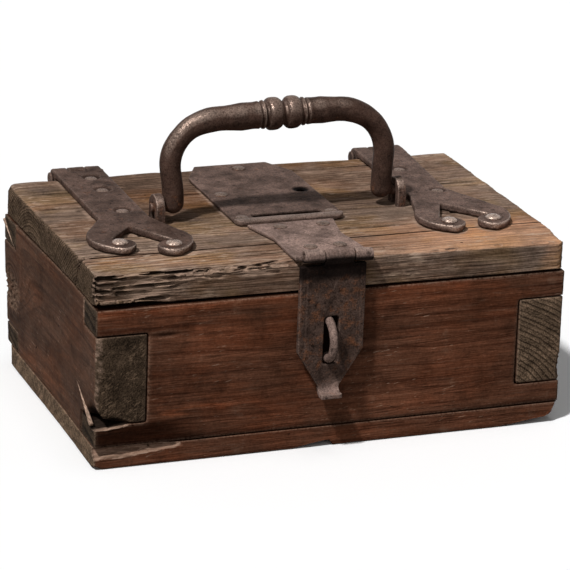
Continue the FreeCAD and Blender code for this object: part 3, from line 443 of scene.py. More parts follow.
    # End grain
    rings = 1.0 - 0.75 * speckle
    line = paint.span(bands, 0.36, 0.66, 0.0, 0.6 * rings)
    cut = paint.mix(paint.plus(paint.times(lateness, 0.75 * rings), line, clamp=True), end_early, end_late)
    pores = paint.noise(turned, 1.25, 3.0, 0.7)
    cut = paint.shade(cut, pores, 0.36, 0.66, 0.30, 1.95)
    cut = paint.shade(cut, paint.noise(turned, 0.13, 3.0), 0.30, 0.70, 0.60, 1.35)
    cut = paint.cover(cut, lit(end_early, 2.4), speck, 0.62, 0.72, 0.0, 0.5)
    if speckle:
        slant = paint.add("Mapping", {"Vector": turned, "Rotation": (-0.62, 0.0, 0.0)}).outputs[0]
        dots = paint.noise(paint.stretch(slant, (0.3, 0.34, 1.1)), 1.0, 3.0, 0.66)
        dots = paint.span(dots, 0.52, 0.64, 0.0, 0.85 * speckle)
        dots = paint.times(dots, paint.span(paint.noise(turned, 0.11, 3.0), 0.40, 0.60, 0.20, 1.0))
        cut = paint.mix(dots, cut, lit(end_early, 3.6))
    colour = paint.mix(end, colour, cut)

    # Worn edges, torn wood, worm holes, soot and painted shade
    worn_and_sheen = paint.times(wear, paint.span(speck, 0.34, 0.60), clamp=True)
    colour = paint.mix(paint.times(worn_and_sheen, 0.62), colour, bare)
    torn = paint.mix(paint.span(hair, 0.38, 0.62), lit(bare, 0.50), TORN_WOOD)
    colour = paint.mix(broken, colour, torn)
    worm = paint.add("TexVoronoi", {"Vector": turned, "Scale": 0.085, "Randomness": 1.0}).outputs["Distance"]
    worm = paint.times(paint.span(worm, 0.045, 0.075, 1.0, 0.0), paint.span(cloud, 0.50, 0.56))
    colour = paint.mix(paint.most(paint.times(soot, 0.95), worm), colour, WOOD_SOOT_AND_SHADE)

    height = paint.times(paint.span(bands, 0.30, 0.70), look["bands"])
    furrow = paint.plus(split, paint.times(dark, 0.6))
    for pattern, rise in ((fibre, look["fibres"]), (hair, look["hairs"]), (furrow, -1.1),
                          (paint.times(end, pores), 1.6), (worm, -1.6)):
        height = paint.plus(height, paint.times(pattern, rise))
    paint.bump(height, look["relief"])
    return paint.coat(WOOD_SHEEN, base_color=colour, roughness=paint.span(fibre, 0.3, 0.7, *look["rough"]))


# For each iron finish, which of the iron's colours it starts from and what share of it, the share of rust,
# the least roughness, the pits' depth, the shine of rubbed places and of painted highlights, the sheen and
# how mild the mottling is.
PLAIN = (1.0, 1.0, 1.0)
IRON_FINISHES = {
    "hammered_dark_iron": ("iron", PLAIN, 0.10, 0.34, 0.55, 0.55, 0.004, 0.0),
    "nail_iron": ("iron", PLAIN, 0.10, 0.30, 0.40, 1.0, 0.004, 0.0),
    "scrolled_iron": ("iron", PLAIN, 0.10, 0.32, 0.50, 0.85, 0.004, 0.0),
    "handled_iron": ("iron", (0.66, 0.59, 0.56), 0.06, 0.24, 0.36, 0.60, 0.008, 0.6),
    "hammered_rusty_iron": ("iron", (0.98, 0.98, 0.98), 0.30, 0.46, 0.55, 0.55, 0.004, 0.0),
    "rubbed_iron": ("rubbed", PLAIN, 0.10, 0.42, 0.55, 0.55, 0.004, 0.0),
}


def iron_finish(name):
    """Forged iron: mottled brown scale, pits, rust, places rubbed pale or bright with painted highlights
    among them, and soot and painted shade.
    """
    iron = ironwork()
    start, shares, rust_share, least_rough, pits, shine, sheen, mild = IRON_FINISHES[name]
    base = [c * share for c, share in zip(getattr(iron, start), shares)]
    paint = Finish(name)
    place = paint.millimetres()
    mottle = paint.noise(place, 0.085, 5.0, 0.64)
    scale = paint.noise(place, 0.30, 4.0, 0.62)
    grit = paint.noise(place, 1.15, 3.0, 0.66)
    wear, rusty, soot, rub = map(paint.attribute, ("wear", "rust", "soot", "rub"))
    colour = paint.shade(paint.mix(rub, base, tuple(iron.rubbed)), mottle, 0.32, 0.68, 0.50, 1.50)
    colour = paint.shade(colour, grit, 0.30, 0.70, 0.50 + 0.25 * mild, 1.48 - 0.25 * mild)
    patch = paint.plus(paint.noise(place, 0.19, 5.0, 0.72), paint.times(rusty, 0.35))
    rust = paint.span(patch, 0.66 - rust_share * 0.4, 0.84 - rust_share * 0.4, 0.0, 0.9)
    rust = paint.times(rust, paint.span(rub, 0.0, 1.0, 1.0, 0.35))
    stain = paint.mix(paint.span(grit, 0.35, 0.65), lit(iron.rust, 0.45), lit(iron.rust, 1.7))
    colour = paint.mix(rust, colour, stain)
    colour = paint.shade(colour, paint.span(scale, 0.43, 0.30), 0.0, 1.0, 1.0, 0.34 + 0.30 * mild)
    # Bright where the iron is worn and where a highlight is painted; those places take the polish colour and
    # turn metallic.
    bright = paint.times(wear, paint.span(grit, 0.30, 0.56))
    bright = paint.most(bright, paint.span(scale, 0.62, 0.78, 0.0, 0.22), clamp=True)
    bright = paint.times(bright, paint.span(rust, 0.0, 0.9, 1.0, 0.35))
    colour = paint.mix(paint.times(bright, shine), colour, tuple(iron.polish_and_highlight))
    # Soot and painted shade: under the hasp's barrel, round the open nail hole, on the staple's right side
    # and in hollows.
    colour = paint.mix(soot, colour, IRON_SOOT_AND_SHADE)
    rough = paint.span(grit, 0.3, 0.7, least_rough, least_rough + 0.20)
    rough = paint.plus(rough, paint.times(rust, 0.20))
    rough = paint.math("SUBTRACT", rough, paint.times(bright, 0.20), clamp=True)
    paint.bump(paint.plus(paint.times(grit, 0.55), paint.times(scale, 1.1)), pits)
    metal = paint.span(bright, 0.0, 1.0, 0.0, shine)
    return paint.coat(sheen, base_color=colour, metallic=metal, roughness=rough)


def material(name, make, *details):
    """A finish by name, made at its first use."""
    return bpy.data.materials.get(name) or make(name, *details)


def stained(along, pith, shade=1.0, knots=(), speckle=0.0):
    """Stained box wood; shade darkens its end grain and speckle roughens it."""
    wood = boards()
    light, dark, width = wood.stain, wood.stain_late, wood.ring_width
    if along == "Y":
        light, dark, width = wood.side, wood.side_late, wood.side_ring_width
    tones = (light, dark, lit(wood.end, shade), lit(wood.end_late, shade), wood.bare)
    name = f"stained_wood_{along.lower()}_{abs(round(pith[0]))}"
    return material(name, wood_finish, tones, along, pith, width, STAINED, knots, speckle)


def weathered(pith):
    """Weathered lid wood."""
    wood = boards()
    tones = (wood.grey, wood.grey_late, wood.end, wood.end_late, wood.bare)
    name = f"weathered_wood_{abs(round(pith[0]))}"
    return material(name, wood_finish, tones, "X", pith, wood.lid_ring_width, WEATHERED)


def ease(value, start, end):
    """0 before the start, 1 after the end and smooth between."""
    share = max(0.0, min(1.0, (value - start) / (end - start)))
    return share * share * (3.0 - 2.0 * share)


def fall(value, start, end):
    """1 before the start, 0 after the end and smooth between."""
    return 1.0 - ease(value, start, end)


def ripple(point, scale):
    """Soft noise between -1 and 1 at a point in millimetres."""
    return noise.noise(Vector((point[0] * scale[0], point[1] * scale[1], point[2] * scale[2])))


def swell(point, scale):
    """Soft noise between 0 and 1 at a point in millimetres."""
    return 0.5 + 0.5 * ripple(point, scale)


def wander(place, scale, row):
    """Soft noise between -1 and 1 along a line; each row is a line of its own."""
    return noise.noise(Vector((place * scale, row, 0.0)))


def plank(plane, low, high, cells, gaps=()):
    """A board: a grid over its face with the gaps left out, pulled out to its thickness and cut in layers."""
    u, v, w = {"XY": (0, 1, 2), "XZ": (0, 2, 1), "YZ": (1, 2, 0)}[plane]
    across, up, layers = cells
    bm = bmesh.new()
    bmesh.ops.create_grid(bm, x_segments=across, y_segments=up, size=0.5)
    bmesh.ops.translate(bm, verts=bm.verts, vec=(0.5, 0.5, 0.0))
    bmesh.ops.scale(bm, verts=bm.verts, vec=(high[u] - low[u], high[v] - low[v], 1.0))
    bmesh.ops.translate(bm, verts=bm.verts, vec=(low[u], low[v], 0.0))
    out = []
    for face in bm.faces:
        spot = face.calc_center_median()
        if any(a < spot.x < c and b < spot.y < d for a, b, c, d in gaps):
            out.append(face)
    if out:
        bmesh.ops.delete(bm, geom=out, context="FACES")
    bmesh.ops.translate(bm, verts=bm.verts, vec=(0.0, 0.0, low[w]))
    pulled = bmesh.ops.extrude_face_region(bm, geom=bm.faces[:])["geom"]
    tops = [item for item in pulled if isinstance(item, bmesh.types.BMVert)]
    bmesh.ops.translate(bm, verts=tops, vec=(0.0, 0.0, high[w] - low[w]))
    upright = [edge for edge in bm.edges if abs(edge.verts[0].co.z - edge.verts[1].co.z) > 1e-4]
    bmesh.ops.subdivide_edges(bm, edges=upright, cuts=layers - 1, use_grid_fill=True)
    turn = Matrix.Identity(4)
    for row in range(3):
        for column, axis in enumerate((u, v, w)):
            turn[row][column] = 1.0 if row == axis else 0.0
    bmesh.ops.transform(bm, matrix=turn, verts=bm.verts)
    bmesh.ops.recalc_face_normals(bm, faces=bm.faces)
    return bm


def mark(bm, name):
    """A number on every vertex that the finish can read."""
    return bm.verts.layers.float.get(name) or bm.verts.layers.float.new(name)


def mark_ends(bm, axis, low, high):
    """Marks the end grain."""
    layer = mark(bm, "end")
    for vert in bm.verts:
        vert[layer] = 1.0 if min(vert.co[axis] - low[axis], high[axis] - vert.co[axis]) < 0.05 else 0.0


def smooth(bm, verts, rounds):
    """Draws vertices half way to their neighbours, so many times."""
    for _ in range(rounds):
        bmesh.ops.smooth_vert(bm, verts=verts, factor=0.5, use_axis_x=True, use_axis_y=True, use_axis_z=True)


def soften(bm, rounds, share=None):
    """Rubs the sharp edges round."""
    sharp = [edge for edge in bm.edges if edge.is_manifold and edge.calc_face_angle() > 0.8]
    near = {vert for edge in sharp for vert in edge.verts}
    if share:
        near = {vert for vert in near if share(vert.co)}
    wide = set(near)
    for vert in near:
        wide.update(edge.other_vert(vert) for edge in vert.link_edges)
    smooth(bm, list(wide), rounds)


def mark_wear(bm, gain):
    """Marks how far each vertex stands out from its neighbours."""
    layer = mark(bm, "wear")
    bm.normal_update()
    for vert in bm.verts:
        total = 0.0
        for edge in vert.link_edges:
            step = vert.co - edge.other_vert(vert).co
            total += step.dot(vert.normal) / max(step.length, 1e-6)
        vert[layer] = max(vert[layer], min(1.0, total / max(1, len(vert.link_edges)) * gain))


def shift(bm, rule):
    """Moves every vertex by what a rule gives for it, all at once."""
    bm.normal_update()
    for vert, move in [(vert, rule(vert)) for vert in bm.verts]:
        vert.co += move


def wear_surface(bm, depth):
    """Sinks every vertex by a depth that depends on its place."""
    shift(bm, lambda vert: vert.normal * -depth(vert.co, vert.normal))


def scoop(bm, centre, radii, push, rough=0.0, bare=0.0, soot=0.0, fade=1.0):
    """Breaks wood away inside an ellipsoid, along one direction; the rim is bare and the bottom darkened with
    painted shade.
    """
    centre, push = Vector(centre), Vector(push).normalized()
    flat = Vector([push[i] / radii[i] for i in range(3)])
    pale, dark = mark(bm, "bare"), mark(bm, "soot")
    for vert in bm.verts:
        gap = vert.co - centre
        if any(abs(gap[i]) > radii[i] * 1.3 for i in range(3)):
            continue
        coarse, fine = ripple(vert.co, (0.16, 0.55, 0.55)), ripple(vert.co, (0.5, 1.3, 1.3))
        grow = 1.0 + rough * coarse + 0.5 * rough * fine
        spot = Vector([gap[i] / radii[i] / grow for i in range(3)])
        inside = spot.length_squared - 1.0
        if inside >= 0.0:
            continue
        a, b = flat.length_squared, spot.dot(flat)
        vert.co += push * ((math.sqrt(b * b - a * inside) - b) / a) * grow
        deep = min(1.0, -inside * 3.0)
        vert[pale] = max(vert[pale] * (1.0 - deep * soot), (1.0 - deep * fade) * bare)
        vert[dark] = max(vert[dark], deep * soot)


def splinter(bm, start, end, thick):
    """A pale sliver of torn wood that lies along a face, thick at its start and sharp at its end."""
    pale = mark(bm, "bare")
    start, end = Vector(start), Vector(end)
    turn = (end - start).to_track_quat("Z", "Y").to_matrix().to_4x4()
    place = Matrix.Translation((start + end) / 2) @ turn
    made = bmesh.ops.create_cone(bm, cap_ends=True, segments=10, radius1=thick, radius2=0.08,
                                 depth=(end - start).length, matrix=place)
    for vert in made["verts"]:
        vert[pale] = 1.0


def rack(bm):
    """The box leans out a little at its left back corner and at the foot of its right side."""
    for vert in bm.verts:
        co = vert.co
        share = ease(co.y, -40.0, 85.0) * ease(-co.x, 60.0, 130.0)
        co.x -= share * 4.2 * (0.45 + 0.55 * ease(co.z, 0.0, 75.0))
        co.x += 1.5 * ease(co.x, 70.0, 130.0) * fall(co.z, 5.0, 80.0) * fall(co.y, 0.0, 70.0)


def round_edge(bm, first, second, radius):
    """Rounds a long edge between two faces, each given by its axis, its place and the side it closes."""
    (a, at_a, side_a), (b, at_b, side_b) = first, second
    for vert in bm.verts:
        size = radius(vert.co)
        over_a = size - (at_a - vert.co[a]) * side_a
        over_b = size - (at_b - vert.co[b]) * side_b
        away = math.hypot(over_a, over_b)
        if over_a > 0.0 and over_b > 0.0 and away > size:
            vert.co[a] = at_a - side_a * (size - over_a * size / away)
            vert.co[b] = at_b - side_b * (size - over_b * size / away)


def paint_marks(bm, name, rule):
    """Raises a mark to what a rule gives at each place."""
    layer = mark(bm, name)
    bm.normal_update()
    for vert in bm.verts:
        vert[layer] = max(vert[layer], min(1.0, rule(vert.co, vert.normal)))


def tint(bm, rule):
    """Marks how much lighter or darker the wood is at each place."""
    layer = mark(bm, "tone")
    bm.normal_update()
    for vert in bm.verts:
        vert[layer] = max(-1.0, min(1.0, rule(vert.co, vert.normal)))


def groove(bm, start, end, line, width, depth, push, soot=0.8):
    """A crack along the box: a narrow trough on a wandering line."""
    layer = mark(bm, "soot")
    push = Vector(push)
    side = 3 - max(range(3), key=lambda i: abs(push[i]))
    for vert in bm.verts:
        x = vert.co.x
        if not start < x < end or vert.normal.dot(push) > -0.5:
            continue
        taper = min(1.0, (x - start) / 12.0, (end - x) / 12.0)
        middle = line + 1.6 * wander(x, 0.035, line)
        off = abs(vert.co[side] - middle) / (width * (0.4 + 0.6 * taper))
        if off < 1.0:
            share = (1.0 - off * off) * taper
            vert.co += push * depth * share
            vert[layer] = max(vert[layer], share * soot)


def finish_piece(bm, name, body, finish, nodes):
    """Turns a mesh in millimetres into a finished piece that stands for CAD nodes."""
    bmesh.ops.scale(bm, verts=bm.verts, vec=(MM, MM, MM))
    mesh = bpy.data.meshes.new(name)
    bm.to_mesh(mesh)
    bm.free()
    mesh.polygons.foreach_set("use_smooth", [True] * len(mesh.polygons))
    mesh.materials.append(finish)
    piece = bpy.data.objects.new(name, mesh)
    bpy.context.scene.collection.objects.link(piece)
    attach(piece, body)
    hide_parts(*nodes)


def cad_shape(*nodes):
    """The CAD shapes of some nodes as one mesh, in millimetres."""
    bm = bmesh.new()
    for node in nodes:
        bm.from_mesh(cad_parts[node].data)
    bmesh.ops.remove_doubles(bm, verts=bm.verts, dist=1e-6)
    bmesh.ops.scale(bm, verts=bm.verts, vec=(1.0 / MM, 1.0 / MM, 1.0 / MM))
    return bm


def skin(node, cell):
    """A CAD node's shape in an even skin of small cells, in millimetres."""
    plain = bpy.data.meshes.new(f"{node}_skin")
    bm = cad_shape(node)
    bm.to_mesh(plain)
    bm.free()
    copy = bpy.data.objects.new(f"{node}_skin", plain)
    bpy.context.scene.collection.objects.link(copy)
    remesh = copy.modifiers.new("skin", "REMESH")
    remesh.mode = "VOXEL"
    remesh.voxel_size = cell
    remesh.adaptivity = 0.0
    bpy.context.view_layer.update()
    made = bpy.data.meshes.new_from_object(copy.evaluated_get(bpy.context.evaluated_depsgraph_get()))
    bm = bmesh.new()
    bm.from_mesh(made)
    bpy.data.objects.remove(copy)
    for mesh in (plain, made):
        bpy.data.meshes.remove(mesh)
    return bm


def hammer(bm, depth, size):
    """Hammer marks: broad shallow dents and a finer scale."""
    def dent(vert):
        broad, fine = ripple(vert.co, (1.0 / size,) * 3), ripple(vert.co, (3.1 / size,) * 3)
        return vert.normal * depth * (-0.35 + 0.75 * broad + 0.28 * fine)

    shift(bm, dent)


def forge(node, body, finish, cell, rounds, depth, size=9.0, gain=2.2, shape=None):
    """A forged piece: the CAD shape with rounded edges and with a share of the full depth of hammer marks."""
    bm = skin(node, cell)
    smooth(bm, bm.verts, rounds)
    if shape:
        shape(bm)
    hammer(bm, ironwork().hammer * depth, size)
    mark_wear(bm, gain)
    finish_piece(bm, f"forged_{node}", body, material(finish, iron_finish), [node])


class OFFERINGBOX_OT_walls(bpy.types.Operator):
    """Front, back and side boards of the box with their fingers and tenons"""

    bl_idname = "offering_box.walls"
    bl_label = "Box walls"

    # Cells along, up and through a wall.
    LONG_CELLS, SIDE_CELLS = (180, 78, 16), (170, 78, 18)

    def execute(self, context):
        notches = [(start, FINGER_LOW, end, FINGER_HIGH)
                   for start, end in ((-BEYOND, LEFT_HIGH.x), (RIGHT_LOW.x, BEYOND))]
        self.long_wall("front_board", FRONT_LOW, FRONT_HIGH, notches, (-30.0, -160.0))
        self.long_wall("back_board", BACK_LOW, BACK_HIGH, notches, (40.0, 210.0))
        fingers = [(start, low, end, high)
                   for start, end in ((-BEYOND, FRONT_HIGH.y), (BACK_LOW.y, BEYOND))
                   for low, high in ((-BEYOND, FINGER_LOW), (FINGER_HIGH, BEYOND))]
        self.side_wall("left_side_board", LEFT_LOW, LEFT_HIGH, fingers, (-190.0, 40.0))
        self.side_wall("right_side_board", RIGHT_LOW, RIGHT_HIGH, fingers, (60.0, -40.0))
        return {"FINISHED"}

    def surface(self, co, normal):
        """Broad wear and a little raised grain."""
        return 0.55 * swell(co, (0.012, 0.03, 0.03)) + 0.22 * swell(co, (0.02, 0.3, 0.3))

    def long_wall(self, node, low, high, notches, pith):
        bm = plank("XZ", low, high, self.LONG_CELLS, notches)
        mark_ends(bm, 0, low, high)
        soften(bm, boards().edge_rounds)
        if node == "front_board":
            corner = (-HALF - 3.0, low.y - 2.0, FINGER_LOW + 2.0)
            scoop(bm, corner, (24.0, 20.0, 4.6), (0.0, 0.0, -1.0), 0.15, bare=0.8, fade=0.2)
            tint(bm, self.front_tone)
            # Painted shade inside the hasp's slot and on the floor of the broken corner.
            paint_marks(bm, "soot", self.front_painted_shade)
            groove(bm, -112.0, -82.0, 74.0, 1.2, 0.8, (0.0, 1.0, 0.0), 0.7)
        else:
            tint(bm, self.back_tone)
        rack(bm)
        self.widen(bm)
        wear_surface(bm, self.surface)
        mark_wear(bm, WOOD_GAIN)
        finish_piece(bm, f"worn_{node}", "box", stained("X", pith, 0.42), [node])

    def front_tone(self, co, normal):
        """Dark along the bottom, at the lower left finger and round the tenons, with a painted highlight on
        the upper left edge and painted shade on the top face under the lid.
        """
        level = 0.24 * ripple(co, (0.014, 0.05, 0.05))
        level -= 0.50 * fall(co.z, 12.0, 19.0) - 0.14 * ease(co.x, 10.0, 60.0)
        # Painted highlight on the lit upper edge at the left, and painted shade on the top face under the
        # lid.
        level += 0.60 * ease(co.z, 83.0, 88.0) * fall(co.x, -60.0, 20.0) * ease(-normal.y, 0.2, 0.6)
        level -= 0.70 * ease(normal.z, 0.4, 0.9) * ease(co.z, 80.0, 88.0)
        level -= 1.10 * fall(co.z, 23.0, 27.0) * fall(co.x, -104.0, -56.0) * ease(-normal.y, 0.3, 0.8)
        level -= 0.30 * ease(abs(co.x), 92.0, 118.0) * (0.6 + ripple(co, (0.05, 0.1, 0.1)))
        scuff = ease(co.z, 25.0, 28.0) * fall(co.z, 30.0, 35.0) * ease(co.x, -106.0, -98.0)
        return level + 0.6 * scuff * fall(co.x, -64.0, -45.0) * ease(ripple(co, (0.06, 0.2, 0.5)), -0.15, 0.3)

    def back_tone(self, co, normal):
        """Dark along the bottom, and painted shade on the top face under the lid."""
        level = 0.22 * ripple(co, (0.014, 0.05, 0.05))
        # Painted shade on the faces that look up, under the lid.
        return level - 0.4 * fall(co.z, 12.0, 17.0) - 0.7 * ease(normal.z, 0.4, 0.9)

    def front_painted_shade(self, co, normal):
        """Painted shade behind the hasp's slot and in the broken corner."""
        slot = fall(abs(co.x + 5.0), 4.0, 8.0) * ease(co.z, 46.0, 52.0) * fall(co.z, 76.0, 84.0)
        corner = ease(normal.z, 0.3, 0.6) * ease(co.y, -82.8, -80.8)
        corner *= fall(co.z, FINGER_LOW + 0.5, FINGER_LOW + 2.0) * fall(co.x, -114.0, -108.0)
        return max(slot * ease(-normal.y, 0.3, 0.6), corner)

    def side_wall(self, node, low, high, fingers, pith):
        left = node == "left_side_board"
        outside = (0, low.x, -1) if left else (0, high.x, 1)
        front, under = (1, low.y, -1), (2, FINGER_LOW, -1)
        bm = plank("YZ", low, high, self.SIDE_CELLS, fingers)
        mark_ends(bm, 1, low, high)
        soften(bm, boards().edge_rounds)
        round_edge(bm, outside, front, lambda co: 1.8)
        if left:
            round_edge(bm, outside, under, lambda co: 16.0 * fall(co.y, -80.0, -58.0))
            round_edge(bm, front, under, lambda co: 7.0 * fall(co.x, -126.0, -112.0))
            # Painted shade under the left tenon, and dark patches on its end.
            paint_marks(bm, "soot", self.gap)
            paint_marks(bm, "bare", self.flecks)
            hollow = (low.x - 5.0, 74.0, 47.0)
            scoop(bm, hollow, (7.0, 22.0, 15.0), (1.0, 0.0, 0.0), 0.3, bare=0.16, soot=0.25, fade=0.3)
        else:
            corner = (high.x + 3.0, low.y - 3.0, FINGER_LOW + 8.0)
            scoop(bm, corner, (6.5, 6.5, 12.0), (-1.0, 0.6, 0.0), 0.2, bare=0.2, soot=0.3)
        wear_surface(bm, self.surface)
        mark_wear(bm, WOOD_GAIN)
        if left:
            splinter(bm, (low.x + 0.2, -79.5, 24.5), (low.x + 0.5, -51.0, 38.5), 1.3)
            splinter(bm, (low.x + 0.3, 84.0, 86.5), (low.x + 0.5, 64.0, 75.5), 1.0)
        rack(bm)
        self.widen(bm)
        # Painted shade on the faces that look up: the top under the lid and the finger tops.
        tint(bm, lambda co, normal: 0.25 * ripple(co, (0.05, 0.014, 0.05)) - 0.7 * ease(normal.z, 0.4, 0.9))
        knots = (((72.0, low.x, 58.0), 11.0),) if left else (((-20.0, high.x, 40.0), 8.0),)
        finish = stained("Y", pith, 0.44 if left else 1.35, knots, 1.0 if left else 0.0)
        finish_piece(bm, f"worn_{node}", "box", finish, [node])

    def gap(self, co, normal):
        """Painted shade in the broken corner under the left tenon, and dark patches on the tenon's end."""
        near = fall(co.x, -124.0, -112.0) * fall(co.y, -74.0, -62.0)
        near *= ease(-normal.z, 0.25, 0.55) * fall(co.z, FINGER_LOW + 8.0, FINGER_LOW + 14.0)
        patch = ease(-normal.y, 0.5, 0.9) * ease(co.x, -131.0, -123.0) * fall(co.y, -84.0, -82.0)
        return max(near, 0.5 * patch * ease(ripple(co, (0.09, 0.09, 0.07)), -0.25, 0.35))

    def flecks(self, co, normal):
        """Pale flecks on the worn left edge of the left tenon."""
        rim = fall(co.x, -132.6, -129.8) * ease(-normal.y, 0.15, 0.5) * ease(co.z, 33.0, 38.0)
        return 0.70 * rim * ease(ripple(co, (0.5, 0.5, 0.6)), -0.05, 0.25)

    def widen(self, bm):
        """The left tenon is a little wider than the right one."""
        for vert in bm.verts:
            vert.co.x += 2.0 * fall(abs(vert.co.x - LEFT_HIGH.x), 4.0, 26.0)


class OFFERINGBOX_OT_bottom(bpy.types.Operator):
    """Bottom board with its worn lower edge"""

    bl_idname = "offering_box.bottom"
    bl_label = "Bottom board"

    CELLS = (220, 130, 16)

    def execute(self, context):
        bm = plank("XY", BOTTOM_LOW, BOTTOM_HIGH, self.CELLS)
        mark_ends(bm, 0, BOTTOM_LOW, BOTTOM_HIGH)
        soften(bm, boards().edge_rounds - 1)
        front = BOTTOM_LOW.y
        for vert in bm.verts:
            co = vert.co
            level = self.edge(co.x) * fall(co.y, front, front + 16.0)
            level += 0.5 * (1.0 + ripple(co, (0.05, 0.06, 0.05))) * fall(co.x, -HALF, -HALF + 12.0)
            co.z = max(co.z, min(level, 9.0))
        round_edge(bm, RIGHT_END, (2, 0.0, -1),
                   lambda co: 17.0 * fall(co.y, front + 15.0, front + 60.0) + 2.0)
        round_edge(bm, LEFT_END, (1, BOTTOM_HIGH.y, 1), lambda co: 11.0)
        round_edge(bm, RIGHT_END, (1, front, -1), lambda co: 4.0)
        torn, chipped = (-HALF - 4.0, front - 2.5, 12.0), (-HALF - 2.0, front - 2.0, 0.0)
        scoop(bm, torn, (58.0, 7.0, 6.4), (0.0, 1.0, -0.5), 0.12, bare=0.62, fade=0.1)
        scoop(bm, chipped, (6.0, 6.0, 3.0), (0.5, 1.0, 0.4), 0.3, bare=0.2, soot=0.5)
        rack(bm)
        wear_surface(bm, self.surface)
        # Painted shade on the top of the bottom board, under and between the walls.
        tint(bm, lambda co, normal: 0.25 * ripple(co, (0.02, 0.08, 0.08)) - 0.35 * ease(co.z, 10.0, 12.0))
        mark_wear(bm, 2.0)
        finish = stained("X", (-70.0, -80.0), 1.0, (), 0.6)
        finish_piece(bm, "worn_bottom_board", "box", finish, ["bottom_board"])
        return {"FINISHED"}

    def edge(self, x):
        """Height of the worn lower edge along the front."""
        wave = 0.1 + 0.4 * wander(x, 0.035, 3.7) + 0.3 * wander(x, 0.15, 8.1)
        step = 3.2 * ease(x, -26.0, -3.0) * fall(x, -1.5, 1.5)
        return max(0.0, wave) + 3.8 * ease(x, 96.0, 130.0) + step

    def surface(self, co, normal):
        """Broad wear and a little raised grain."""
        return 0.4 * swell(co, (0.02, 0.05, 0.05)) + 0.25 * swell(co, (0.04, 0.35, 0.35))


